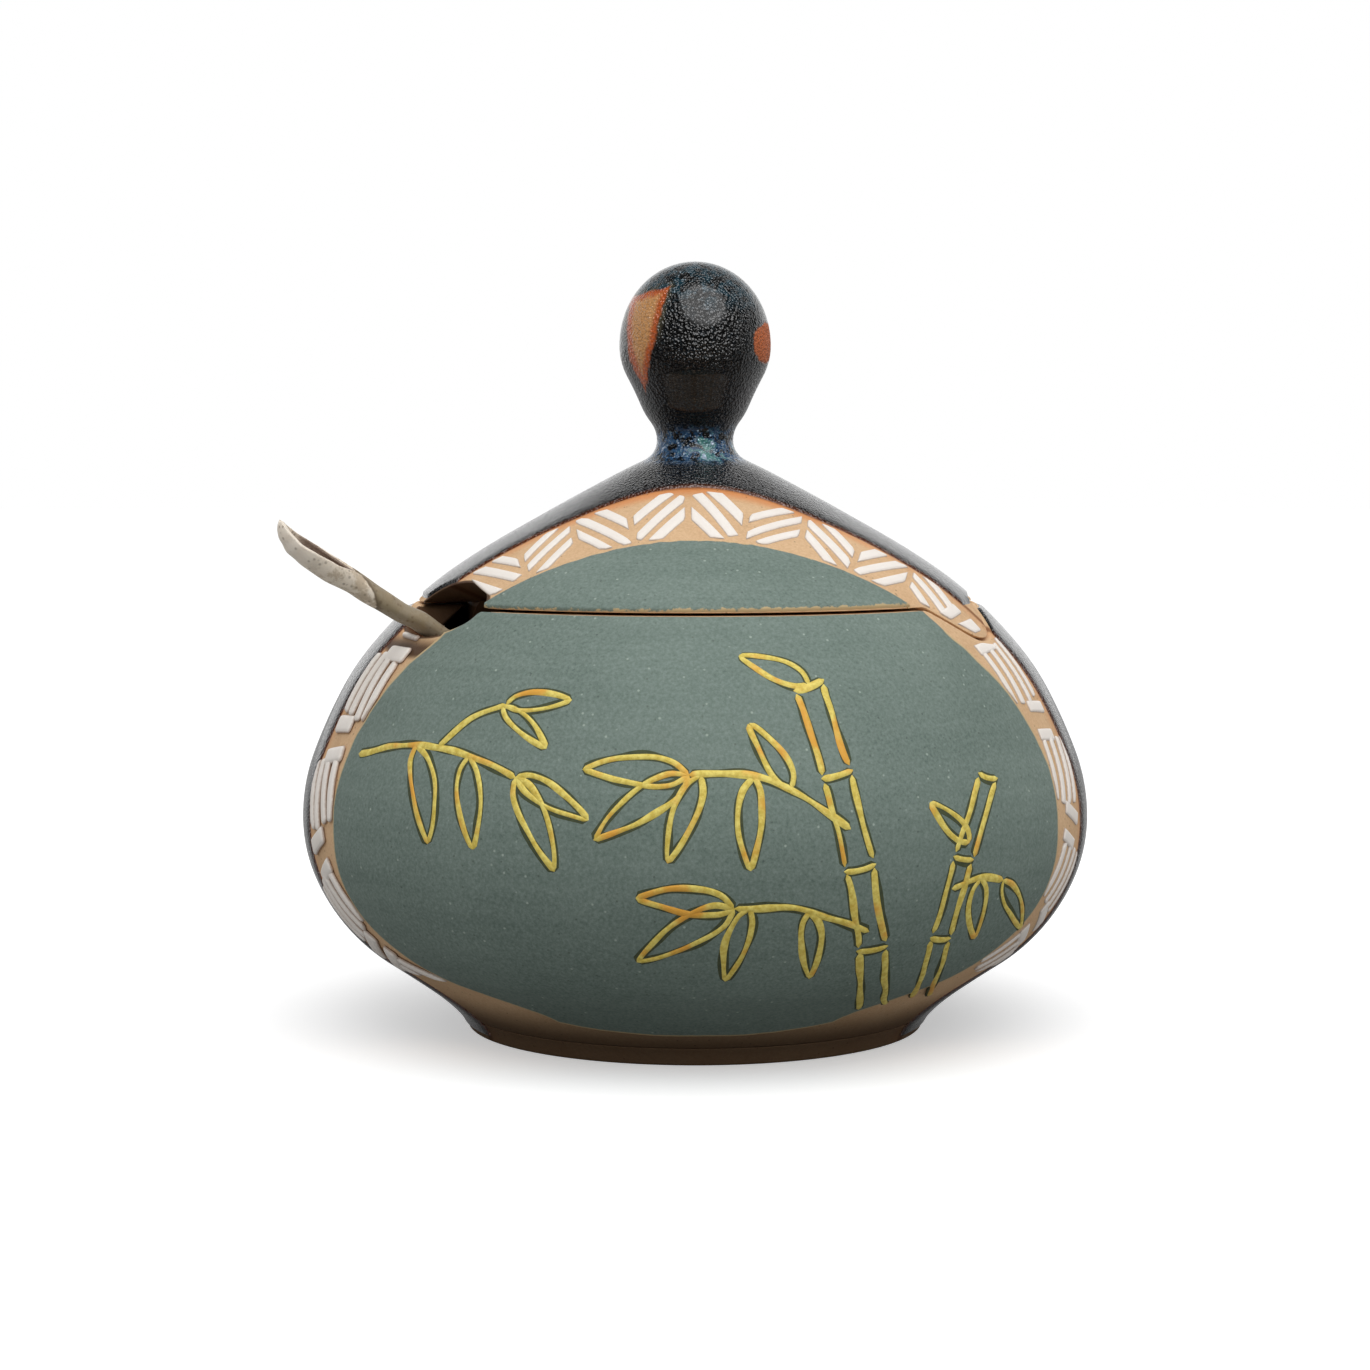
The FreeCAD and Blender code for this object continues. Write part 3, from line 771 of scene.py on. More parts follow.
def spoon_glaze():
    glaze = Finish("spoon_glaze", Coat_Weight=0.2, Coat_Roughness=0.3)
    clouds = glaze.noise(3 * mm, 4, rough=0.6)
    grain = glaze.noise(0.45 * mm, 3, rough=0.7)
    from_tip = handle_end - glaze.along(spoon_along, spoon_base)
    up = glaze.along(spoon_up, spoon_base)
    flap = from_tip - (1.0 * mm - up) * 1.7 - 13.6 * mm + (clouds - 0.5) * 2 * mm
    stem = glaze.rise(flap, -0.25 * mm, 0.25 * mm)
    crease = stem * glaze.rise(flap, 1.4 * mm, 0.2 * mm)
    blotch = glaze.rise(from_tip, 4 * mm, 11 * mm) * glaze.rise(clouds + grain * 0.4, 0.62, 0.80)
    # Painted shadow: the inner face of the rolled leaf is darkened brown from a few millimetres
    # behind its tip, where the roll shades it.
    inside = glaze.rise(glaze.inset + clouds * 0.2, 0.65, 0.45)
    inside = inside * glaze.rise(from_tip, 2.5 * mm, 6 * mm)
    colour = glaze.layers(
        glaze.blend(clouds + grain * 0.5 - 0.2, srgb(246, 226, 202), srgb(255, 248, 236)),
        (blotch * 0.6, srgb(176, 148, 108)),
        (stem * 0.85, glaze.blend(clouds, srgb(84, 72, 48), srgb(178, 160, 128))),
        (crease * 0.6, srgb(84, 62, 42)),
        (glaze.specks(0.8 * mm, (0.4, 0.1), (0.4, 0.46)) * 0.5, srgb(104, 78, 54)),
        (inside * 0.85, srgb(98, 70, 52)),
    )
    return glaze.completed(colour, 0.42 + grain * 0.25, grain + clouds, 0.12 * mm, 0.5)


clay_finish = bare_clay()
slip_finish = sage_slip()
black_finish = black_glaze()
white_finish = white_slip()
gold_finish = gold_inlay()
groove_shade_finish = painted_groove_shade()
liner_finish = liner_glaze()
spoon_finish = spoon_glaze()


def dressed(piece, finish, body, slot, *nodes):
    """Gives a finished piece its finish, its body and the CAD nodes it stands for."""
    piece.data.materials.clear()
    piece.data.materials.append(finish)
    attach(piece, body)
    if nodes:
        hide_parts(*nodes)


def coated(piece, depth, finish, body, slot, *nodes):
    """Closes a laid coat, smooths it and dresses it."""
    skinned(piece, depth)
    smoothed(piece, 60)
    dressed(piece, finish, body, slot, *nodes)


# Clay wall of the jar and of the lid, with their cut edges softened
def wall_rows(outline, low, high, step):
    """Stations of an outline from one length to another, low or high end first."""
    count = max(1, round(abs(high - low) / step))
    return [outline.at(low + (high - low) * index / count)[:2] for index in range(count + 1)]


fixed_below = 44 * mm
fixed_above = 76 * mm
seam_search = (outside.length_at(48 * mm), outside.length_at(75 * mm))
inner_search = (inner_sides.length_at(46 * mm), inner_sides.lengths[-1])


def coat_ends(cut, inset):
    """Length up the outside at which a coat ends beside the seam, all the way round."""
    return cut_lengths(outside, cut, inset, *seam_search)


def moved_to_cut(piece, cut, gap_side, fixed_height):
    """Slides the rows near the seam along the wall so that the last one follows the cut."""
    marks_out, marks_in = coat_ends(cut, 0.0), cut_lengths(inner_sides, cut, 0.0, *inner_search)
    plain_out = outside.length_at(seam_height + gap_side * seam_gap / 2)
    plain_in = inner_sides.length_at(seam_height + gap_side * seam_gap / 2)
    fixed_out, fixed_in = outside.length_at(fixed_height), inner_sides.length_at(fixed_height)
    for vertex in piece.data.vertices:
        radius, height = math.hypot(vertex.co.x, vertex.co.y), vertex.co.z
        if (height - fixed_height) * gap_side >= 0 or radius < 15 * mm:
            continue
        azimuth = math.atan2(vertex.co.x, -vertex.co.y)
        for outline, plain, fixed, marks in (
            (outside, plain_out, fixed_out, marks_out),
            (inner_sides, plain_in, fixed_in, marks_in),
        ):
            length = outline.length_at(height)
            if abs(outline.at(length)[0] - radius) > 0.02 * mm:
                continue
            share = (length - fixed) / (plain - fixed)
            target = fixed + share * (round_mark(marks, azimuth) - fixed)
            station = outline.at(target)
            vertex.co = plan_of(azimuth, station[0]) + Vector((0, 0, station[1]))
            break


def jar_wall():
    top = seam_height - seam_gap / 2
    foot_length = outside.length_at(foot_recess_height)
    fixed_out, fixed_in = outside.length_at(fixed_below), inner_sides.length_at(fixed_below)
    rows = [(0.0, foot_recess_height)]
    rows += wall_rows(outside, foot_length, fixed_out, 1.6 * mm)
    rows += wall_rows(outside, fixed_out, outside.length_at(top), 1.3 * mm)[1:]
    rows += wall_rows(inner_sides, inner_sides.length_at(top), fixed_in, 1.3 * mm)
    rows += wall_rows(inner_sides, fixed_in, 0.0, 2.0 * mm)[1:]
    rows += wall_rows(hollow, hollow.lengths[-1], 0.0, 1.5 * mm)[1:]
    rows += [(0.0, floor_height)]
    piece = turned("jar_wall", rows, 360)
    moved_to_cut(piece, jar_cut, -1, fixed_below)
    softened(piece, clay_rounding)
    smoothed(piece)
    dressed(piece, clay_finish, "jar", "bare_clay", "jar_bowl", "jar_shoulder")


def lid_wall():
    low_edge = seam_height + seam_gap / 2
    fixed_out = outside.length_at(fixed_above)
    rows = [(0.0, lidded_height)]
    rows += wall_rows(outside, outside.lengths[-1], fixed_out, 1.2 * mm)
    rows += wall_rows(outside, fixed_out, outside.length_at(low_edge), 1.3 * mm)[1:]
    rows += wall_rows(inner_sides, inner_sides.length_at(low_edge), inner_sides.lengths[-1],
                      1.0 * mm)
    rows += wall_rows(hollow_ceiling, 0.0, hollow_ceiling.lengths[-1], 1.5 * mm)[1:]
    piece = turned("lid_wall", rows, 360)
    moved_to_cut(piece, lid_cut, 1, fixed_above)
    softened(piece, clay_rounding)
    smoothed(piece)
    dressed(piece, clay_finish, "lid", "bare_clay", "lid_dome")


def foot_ring():
    inside = outside.at(0.0)[0] - foot_wall
    rows = [(inside, 0.0)]
    rows += wall_rows(outside, 0.0, outside.length_at(foot_recess_height), 0.7 * mm)
    rows += [(inside, foot_recess_height), (inside, 0.0)]
    piece = turned("foot_ring", rows, 240)
    softened(piece, 0.35 * mm, 3)
    smoothed(piece)
    dressed(piece, clay_finish, "jar", "bare_clay", "jar_foot_ring")


# Coats laid from their centre out to an outline
def star_patch(name, outline, centre, place, count, thickness, width):
    """A coat laid out from its centre to a closed outline of points, with rounded edges."""
    def angle_of(point):
        return math.atan2(point[1] - centre[1], point[0] - centre[0])

    points = sorted(outline, key=angle_of)
    marks = [angle_of(point) for point in points]
    marks = [marks[-1] - full_turn] + marks + [marks[0] + full_turn]
    points = [points[-1]] + points + [points[0]]

    def edge_at(angle):
        index, share = bracket(marks, angle)
        return mixed(points[index - 1], points[index], share)

    def lay(across, up):
        across, up = 2 * across - 1, 2 * up - 1
        ring = max(abs(across), abs(up))
        if ring < 1e-6:
            return place(centre[0], centre[1], thickness), 5 * mm
        edge = edge_at(math.atan2(up, across))
        reach = math.hypot(edge[0] - centre[0], edge[1] - centre[1])
        lip_width = min(width, reach * 0.6)
        index = (1 - ring) * count / 2
        if index <= 5:
            inset = lip_width * index / 5
        else:
            inset = lip_width + (reach - lip_width) * (index - 5) / (count / 2 - 5)
        share = 1 - inset / reach
        point = place(centre[0] + (edge[0] - centre[0]) * share,
                      centre[1] + (edge[1] - centre[1]) * share,
                      thickness * lip(inset, lip_width))
        return point, inset

    return laid_grid(name, count, count, lay)


# Green slip panels
def panel_half_width(height):
    """Half width of the green panel at a height, eased through its turning points."""
    marks = [up * seam_height for across, up in panel_outline]
    wides = [across for across, up in panel_outline]
    index, share = bracket(marks, height)
    before = wides[max(index - 2, 0)]
    after = wides[min(index + 1, len(wides) - 1)]
    first, second = wides[index - 1], wides[index]
    start_slope, end_slope = (second - before) / 2, (after - first) / 2
    cube = (2 * share ** 3 - 3 * share ** 2 + 1) * first
    cube += (share ** 3 - 2 * share ** 2 + share) * start_slope
    cube += (3 * share ** 2 - 2 * share ** 3) * second + (share ** 3 - share ** 2) * end_slope
    return cube * outside.at_height(height)[0]


def jar_panel():
    """Unrolled outline: arc length across at each height, and length up the wall."""
    tops = coat_ends(jar_cut, jar_slip_edge)
    foot_steps, steps = 24, 160
    first_height = panel_outline[0][1] * seam_height
    foot_half = panel_half_width(first_height)
    flank = []
    for index in range(1, foot_steps):
        share = index / foot_steps
        flank.append((foot_half * share, panel_foot + (first_height - panel_foot) * share ** 2.2))
    for index in range(steps + 1):
        height = first_height + (seam_height - first_height) * index / steps
        flank.append((panel_half_width(height), height))

    def edge_up(side):
        """The panel's edge on one side, from the foot to the seam."""
        edge = []
        for across, height in flank:
            azimuth = side * math.asin(across / outside.at_height(height)[0])
            length = outside.length_at(height)
            if length > round_mark(tops, azimuth):
                break
            edge.append((azimuth, length))
        return edge

    around, left = edge_up(1), edge_up(-1)
    limit_right, limit_left = around[-1][0], left[-1][0]
    for index in range(steps + 1):
        azimuth = limit_right + (limit_left - limit_right) * index / steps
        around.append((azimuth, round_mark(tops, azimuth)))
    around += left[::-1] + [(0.0, outside.length_at(panel_foot))]
    uneven = []
    for azimuth, length in around:
        station = outside.at(length)
        edge = Vector((station[0] * azimuth, length, 0.0))
        shift = wander(edge, 5 * mm, 0.22 * mm) + wander(edge, 1.6 * mm, 0.06 * mm)
        across = station[0] * azimuth * (1 + shift / (45 * mm))
        uneven.append((across, length + (shift if length < tops[0] - 4 * mm else 0.0)))

    def place(across, length, out):
        station = outside.at(length)
        return on_pot(across / station[0], station, out)

    centre = (0.0, outside.length_at(34 * mm))
    piece = star_patch("jar_green_panel", uneven, centre, place, 150, slip_thickness, 0.55 * mm)
    coated(piece, 0.6 * mm, slip_finish, "jar", "green_slip", "jar_green_slip")


def lid_panel():
    """Laid in columns from the lid's lower edge up to the panel's straight-cut front."""
    bottoms = coat_ends(lid_cut, lid_slip_edge)
    front = mouth_radius * lid_panel_share

    def top_length(azimuth):
        return outside.length_where(lambda station: station[0] * math.cos(azimuth) > front
                                    or station[1] < seam_height)

    def tallness(azimuth):
        return top_length(azimuth) - round_mark(bottoms, azimuth)

    ends = [narrowed(0.0, side * math.radians(60), 24,
                     lambda azimuth: tallness(azimuth) > 0.05 * mm)[0] for side in (-1, 1)]
    columns, rows = 220, 36

    def lay(across, up):
        share = (1 - math.cos(math.pi * across)) / 2
        azimuth = ends[0] + (ends[1] - ends[0]) * share
        low, high = round_mark(bottoms, azimuth), top_length(azimuth)
        low += wander(Vector((azimuth * 30, 5.0, 0)), 0.7, 0.06 * mm) - 0.12 * mm * (1 - share)
        high += wander(Vector((azimuth * 30, 9.0, 0)), 1.5, 0.20 * mm)
        rise = edged(up, rows, max(high - low, 0.0), slip_lip)
        station = outside.at(low + rise)
        inset = max(0.0, min(rise, high - low - rise))
        return on_pot(azimuth, station, slip_thickness * lip(inset, slip_lip)), inset

    piece = laid_grid("lid_green_panel", columns, rows, lay)
    coated(piece, 0.6 * mm, slip_finish, "lid", "green_slip", "lid_green_slip")


# Black glaze over the back
def glaze_front(height):
    return mouth_radius * glaze_line_share - height * glaze_line_lean


def glaze_point(azimuth, station, inset):
    """A point of the glaze, thin at its edges, with the dipping line slightly unsteady."""
    shift = 0.0
    if inset < 6 * mm and station[0] > 12 * mm:
        sway = wander(on_pot(azimuth, station, 0.0), 5 * mm, 0.22 * mm) * (1 - inset / (6 * mm))
        shift = sway / station[0] * math.sin(azimuth)
    return on_pot(azimuth + shift, station, glaze_thickness * lip(inset, glaze_lip)), inset


def jar_black_coat():
    """Laid in rows round the back, from the dipping line on one side to the other's."""
    columns, rows = 230, 74
    low = outside.length_at(foot_bare_edge)
    highs = coat_ends(jar_cut, glaze_edge)

    def lay(across, up):
        azimuth = math.pi
        for _ in range(4):
            high = round_mark(highs, azimuth)
            rise = edged(up, rows, high - low, 0.5 * mm)
            station = outside.at(low + rise)
            start = math.acos(glaze_front(station[1]) / station[0])
            run = (full_turn - 2 * start) * station[0]
            azimuth = start + edged(across, columns, run, glaze_lip) / station[0]
        behind = glaze_front(station[1]) - station[0] * math.cos(azimuth)
        inset = max(0.0, min(behind, rise * 3.5, (high - low - rise) * 3.5))
        return glaze_point(azimuth, station, inset)

    piece = laid_grid("jar_black_coat", columns, rows, lay)
    coated(piece, 0.5 * mm, black_finish, "jar", "black_glaze", "jar_black_glaze")


def lid_black_coat():
    """Laid in spokes from the neck down to the dipping line in front and the edge behind."""
    columns, rows = 480, 56
    lows = coat_ends(lid_cut, glaze_edge)
    neck = outside.lengths[-1]

    def lay(across, up):
        azimuth = full_turn * across
        low = round_mark(lows, azimuth)
        aside = math.cos(azimuth)
        if aside > 0.05:
            dip = outside.length_where(lambda station: station[0] * aside > glaze_front(station[1])
                                       or station[1] < seam_height)
            low = max(low, dip)
        rise = edged(up, rows, neck - low, glaze_lip)
        station = outside.at(low + rise)
        rise_inset = rise * (1.0 if aside > 0.05 and low > round_mark(lows, azimuth) else 3.5)
        inset = min(rise_inset, max(0.0, glaze_front(station[1]) - station[0] * aside))
        return glaze_point(azimuth, station, inset if rise < neck - low else 1.0)

    piece = laid_grid("lid_black_coat", columns, rows, lay)
    coated(piece, 0.5 * mm, black_finish, "lid", "black_glaze", "lid_black_glaze")


def knob():
    rows = [(0.0, lidded_height)] + wall_rows(knob_line, 0.0, knob_line.lengths[-1], 0.7 * mm)
    piece = turned("pear_knob", rows, 120)
    smoothed(piece, 60)
    dressed(piece, black_finish, "lid", "black_glaze", "lid_knob")


# Raised white strokes on the bare bands, woven as on a basket
class Band:
    """The middle line of a bare band and the way across it, out being to its left (side 1)."""

    def __init__(self, side, middle, start=0):
        self.side, self.middle, self.marks, self.ways = side, middle, [0.0], []
        for before, after in zip(middle, middle[1:]):
            run = (after[0] - before[0]) * outside.at(before[1])[0]
            rise = after[1] - before[1]
            gap = math.hypot(run, rise)
            self.marks.append(self.marks[-1] + gap)
            self.ways.append((run / gap, rise / gap))
        self.ways.append(self.ways[-1])
        self.marks = [mark - self.marks[start] for mark in self.marks]

    def place(self, along, out):
        """Azimuth and length at a distance along the band and out from its middle."""
        index = min(max(bisect.bisect_right(self.marks, along), 1), len(self.marks) - 1)
        share = (along - self.marks[index - 1]) / (self.marks[index] - self.marks[index - 1])
        azimuth, length, run, rise = mixed(self.middle[index - 1] + self.ways[index - 1],
                                           self.middle[index] + self.ways[index], share)
        length += self.side * out * run
        return azimuth - self.side * out * rise / outside.at(length)[0], length


def clipped(polygon, reach):
    """The part of a polygon in which reach isn't negative."""
    kept = []
    for start, end in zip(polygon, polygon[1:] + polygon[:1]):
        here, there = reach(start), reach(end)
        if here >= 0:
            kept.append(start)
        if (here >= 0) != (there >= 0):
            kept.append(mixed(start, end, here / (here - there)))
    return kept


def divided(polygon, step):
    """A polygon with points no further apart than a step."""
    points = []
    for start, end in zip(polygon, polygon[1:] + polygon[:1]):
        count = max(1, math.ceil(math.hypot(end[0] - start[0], end[1] - start[1]) / step))
        points += [(start[0] + (end[0] - start[0]) * index / count,
                    start[1] + (end[1] - start[1]) * index / count) for index in range(count)]
    return points


def worn(polygon, rounds=2):
    """A polygon with its corners cut off, more finely each round."""
    for _ in range(rounds):
        polygon = [mixed(start, end, share)
                   for start, end in zip(polygon, polygon[1:] + polygon[:1])
                   for share in (0.25, 0.75)]
    return polygon


def area_of(polygon):
    sides = zip(polygon, polygon[1:] + polygon[:1])
    return abs(sum(start[0] * end[1] - end[0] * start[1] for start, end in sides)) / 2


def woven_bars(groups):
    """Bars along and out, a little uneven, from rows of groups in millimetres and degrees.

    A group is its place along, its reach along, the angle of its bars, their number, pitch,
    width and length.
    """
    bars = []
    for along, reach, angle, count, pitch, width, length in groups:
        for index in range(count):
            turn = math.radians(angle + dice.uniform(-4, 4))
            wide = width * dice.uniform(0.85, 1.12) / 2
            long = length * dice.uniform(0.88, 1.04) / 2
            offset = pitch * (index - (count - 1) / 2 + dice.uniform(-0.06, 0.06))
            slide = dice.uniform(-0.35, 0.35)
            middle = (along + offset * -math.sin(turn) + slide * math.cos(turn),
                      offset * math.cos(turn) + slide * math.sin(turn))
            bar = [(middle[0] + a * long * math.cos(turn) - b * wide * math.sin(turn),
                    middle[1] + a * long * math.sin(turn) + b * wide * math.cos(turn))
                   for a, b in ((-1, -1), (1, -1), (1, 1), (-1, 1))]
            bar = clipped(bar, lambda point: point[0] - along + reach)
            bar = clipped(bar, lambda point: along + reach - point[0])
            bars.append((turn, [(a * mm, b * mm) for a, b in bar]))
    return bars


def edge_distance(polygon, x, y):
    """Distance from a point to a polygon's nearest side."""
    nearest = 1.0
    for start, end in zip(polygon, polygon[1:] + polygon[:1]):
        run, rise = end[0] - start[0], end[1] - start[1]
        size = run * run + rise * rise
        share = ((x - start[0]) * run + (y - start[1]) * rise) / size if size else 0.0
        share = min(max(share, 0.0), 1.0)
        nearest = min(nearest, math.hypot(start[0] + run * share - x, start[1] + rise * share - y))
    return nearest


def bar_patch(name, shape, turn, place, thickness, width):
    """A raised bar over a convex shape, laid in columns along its own direction."""
    cos, sin = math.cos(turn), math.sin(turn)
    shape = [(x * cos + y * sin, y * cos - x * sin) for x, y in shape]
    ends = min(point[0] for point in shape), max(point[0] for point in shape)
    columns, rows = 16, 6

    def lay(across, up):
        x = ends[0] + edged(across, columns, ends[1] - ends[0], width, 3)
        x = min(max(x, ends[0] + 1e-7), ends[1] - 1e-7)
        sides = [start[1] + (end[1] - start[1]) * (x - start[0]) / (end[0] - start[0])
                 for start, end in zip(shape, shape[1:] + shape[:1])
                 if (start[0] <= x) != (end[0] <= x)]
        low, high = min(sides), max(sides)
        y = low + edged(up, rows, high - low, width, 2)
        rim = across in (0, 1) or up in (0, 1)
        inset = 0.0 if rim else edge_distance(shape, x, y)
        return place(x * cos - y * sin, x * sin + y * cos, thickness * lip(inset, width)), inset

    return laid_grid(name, columns, rows, lay)


def stroke_patches(name, band, bars, limits):
    """The bars laid on the pot as far as the limits let them."""
    def place(along, out, lift):
        azimuth, length = band.place(along, out)
        return on_pot(azimuth, outside.at(length), lift)

    pieces = []
    for turn, shape in bars:
        for limit in limits:
            shape = clipped(divided(shape, 0.8 * mm), lambda point: limit(*band.place(*point)))
        if len(shape) < 3 or area_of(shape) < 1.3 * mm * mm:
            continue
        shape = worn(divided(shape, 1.1 * mm))
        thickness = stroke_thickness * dice.uniform(0.75, 1.0)
        pieces.append(bar_patch(name, shape, turn, place, thickness, stroke_lip))
    return pieces


def jar_band(side):
    """The jar's band, from above the seam down to the foot."""
    middle = []
    for index in range(120):
        height = 67 * mm - (67 - 4) * mm * index / 119
        station = outside.at_height(height)
        panel = math.asin(panel_half_width(min(height, seam_height)) / station[0])
        glaze = math.acos(glaze_front(height) / station[0])
        middle.append((side * (panel + glaze) / 2, outside.length_at(height)))
    return Band(side, middle)


def lid_band():
    """The lid's band from the left over the front to the right, 0 in the middle."""
    front = mouth_radius * lid_panel_share
    depth = (front + mouth_radius * glaze_line_share - 75 * mm * glaze_line_lean) / 2
    middle = []
    for index in range(-100, 101):
        aside = math.radians(64) * index / 100
        radius = depth / math.cos(aside)
        middle.append((aside, outside.length_where(
            lambda station: station[0] > radius or station[1] < 40 * mm)))
    return Band(1, middle, 100)


# Angles of the lid's groups of bars to its band, from left to right
lid_weave = (-65, 48, -60, 54, -62, 51, -52, 62, -43)
lid_weave_pitch = 8.3


def band_strokes():
    jar_tops, lid_lows = coat_ends(jar_cut, stroke_edge), coat_ends(lid_cut, stroke_edge)
    front = mouth_radius * lid_panel_share

    def off_glaze(azimuth, length, margin=0.7 * mm):
        station = outside.at(length)
        return station[0] * math.cos(azimuth) - glaze_front(station[1]) - margin

    def beside_jar_panel(azimuth, length):
        station = outside.at(length)
        half = min(panel_half_width(max(station[1], 5 * mm)) / station[0], 1.0)
        return (abs(azimuth) - math.asin(half)) * station[0] - 0.75 * mm

    def above_lid_panel(azimuth, length):
        return front - outside.at(length)[0] * math.cos(azimuth) - 0.9 * mm

    def off_lid_glaze(azimuth, length):
        key = azimuth > 0 and outside.at(length)[1] < seam_height + 1.5 * mm
        return 1.0 if key else off_glaze(azimuth, length, 1.1 * mm)

    jar_pieces = []
    for side, first, period in ((1, 18.6, 15.8), (-1, 21.0, 17.0)):
        groups = []
        for index in range(-1, 4):
            along = first + period * index
            blocks = along + period * 0.53
            groups += [(along, 5.2, -18, 4, 2.8, 1.45, 11.0), (blocks, 8, 72, 2, 4.4, 2.2, 6.2)]
        jar_pieces += stroke_patches(
            "stroke", jar_band(side), woven_bars(groups),
            (off_glaze, beside_jar_panel,
             lambda azimuth, length: round_mark(jar_tops, azimuth) - length,
             lambda azimuth, length: length - outside.length_at(12 * mm)))
    groups = [(3.1 + lid_weave_pitch * (index - 4), 3.75, angle, 3, 3.0, 1.8, 14.0)
              for index, angle in enumerate(lid_weave)]
    groups += [(along, 4, 78, 1, 1, 2.3, 6.2) for along in (39.7, 43.1)]
    lid_pieces = stroke_patches(
        "stroke", lid_band(), woven_bars(groups),
        (off_lid_glaze, above_lid_panel,
         lambda azimuth, length: length - round_mark(lid_lows, azimuth)))
    for name, pieces, body, node in (
        ("jar_white_strokes", jar_pieces, "jar", "jar_band_strokes"),
        ("lid_white_strokes", lid_pieces, "lid", "lid_band_strokes"),
    ):
        coated(joined(name, pieces), 0.35 * mm, white_finish, body, "white_slip", node)


# Bamboo drawn into the green panel, seen from the front in millimetres across and up
# Extra width in millimetres of the painted shade strip under each line, over the line's own width
shade_strip_extra = 0.42
inlay_height = 0.13 * mm
culms = (
    (((24.5, 8.5), (23.6, 19.5), (21.6, 31.0), (18.6, 43.0), (15.0, 54.5)), 3.4),
    (((31.5, 9.0), (33.2, 20.0), (36.0, 31.0), (39.8, 41.5)), 2.4),
)
twigs = (
    ((20.3, 36.0), (13.0, 41.0), (6.0, 43.4), (-1.0, 43.2)),
    ((23.0, 22.0), (14.0, 25.6), (5.0, 26.0)),
    ((34.4, 27.0), (38.6, 28.0), (42.0, 27.2)),
    ((-47.0, 43.5), (-39.0, 45.6), (-31.0, 45.0), (-24.0, 42.4)),
    ((-35.0, 45.6), (-30.5, 49.5), (-25.5, 51.6)),
)
# Leaves: where they start, their direction in degrees and their length
leaves = (
    (-1.0, 43.2, 172, 14), (-1.0, 43.2, 208, 15), (0.6, 43.2, 243, 12), (7.5, 43.0, 262, 12),
    (12.5, 41.4, 118, 10), (5.0, 26.0, 168, 13), (5.0, 26.0, 205, 15), (7.0, 26.0, 248, 11),
    (15.0, 25.4, 276, 10), (42.0, 27.2, 300, 9), (38.6, 28.0, 262, 9), (15.0, 54.5, 152, 10),
    (-24.0, 42.4, 338, 11), (-24.0, 42.4, 300, 13), (-30.5, 44.8, 268, 12), (-38.0, 45.8, 284, 13),
    (-25.5, 51.6, 12, 9), (-26.0, 51.4, 326, 8), (36.8, 33.0, 128, 8),
)


def seen_from_front(across, up):
    """Azimuth and length of a point of the drawing."""
    station = outside.at_height(up)
    return math.asin(across / station[0]), outside.length_at(up)


def eased(points, count):
    """Points on a smooth line through the given ones, count for each part."""
    ends = [points[0]] + list(points) + [points[-1]]
    line = []
    for index in range(1, len(ends) - 2):
        a, b, c, d = ends[index - 1:index + 3]
        for step in range(count):
            s = step / count
            line.append(tuple(
                b[k] + s * (c[k] - a[k]) / 2 + s * s * (a[k] - 2.5 * b[k] + 2 * c[k] - d[k] / 2)
                + s ** 3 * (1.5 * b[k] - 1.5 * c[k] + (d[k] - a[k]) / 2) for k in (0, 1)))
    return line + [points[-1]]


def ribbon(points, width, out, taper=1.0):
    """A rounded line drawn on the panel through points, thinner at its ends by the taper."""
    line = [seen_from_front(across * mm, up * mm) for across, up in points]
    marks = [0.0]
    for before, after in zip(line, line[1:]):
        radius = outside.at(before[1])[0]
        marks.append(marks[-1] + math.hypot((after[0] - before[0]) * radius, after[1] - before[1]))
    count = max(6, round(marks[-1] / (0.55 * mm)))
    hand = dice.uniform(0, 50)

    def lay(across, up):
        mark = marks[-1] * across
        index, share = bracket(marks, mark)
        before, after = line[index - 1], line[index]
        azimuth, length = mixed(before, after, share)
        radius = outside.at(length)[0]
        run, rise = (after[0] - before[0]) * radius, after[1] - before[1]
        size = math.hypot(run, rise)
        end = min(across, 1 - across) * marks[-1]
        wide = width * (1 + 0.45 * noise.noise(Vector((mark / mm / 4.5, hand, 0))))
        wide *= min(1.0, 0.35 + end / (width * taper)) * math.sqrt(min(1.0, 0.2 + end / (0.3 * mm)))
        sway = 0.25 * mm * noise.noise(Vector((mark / mm / 5.0, hand, 7)))
        aside = (2 * up - 1) * wide / 2 + sway
        station = outside.at(length + aside * run / size)
        lift = out * math.sqrt(max(0.0, 1 - (2 * up - 1) ** 2)) * min(1.0, 0.3 + end / (0.5 * mm))
        point = on_pot(azimuth - aside * rise / size / radius, station, slip_thickness + lift)
        return point, wide / 2 - abs(aside - sway)

    return laid_grid("line", count, 5, lay)


def leaf_outline(across, up, direction, length):
    """The two sides of a lance-shaped leaf."""
    turn = math.radians(direction)
    droop = -0.10 if math.cos(turn) < 0 else 0.10
    sides = []
    for side in (-1, 1):
        points = []
        for index in range(9):
            share = index / 8
            wide = side * 1.75 * math.sin(math.pi * share ** 0.75) ** 0.85 * (length / 13)
            turned_by = turn - droop * share
            cos, sin = math.cos(turned_by), math.sin(turned_by)
            points.append((across + share * length * cos - wide * sin,
                           up + share * length * sin + wide * cos))
        sides.append(points)
    return sides


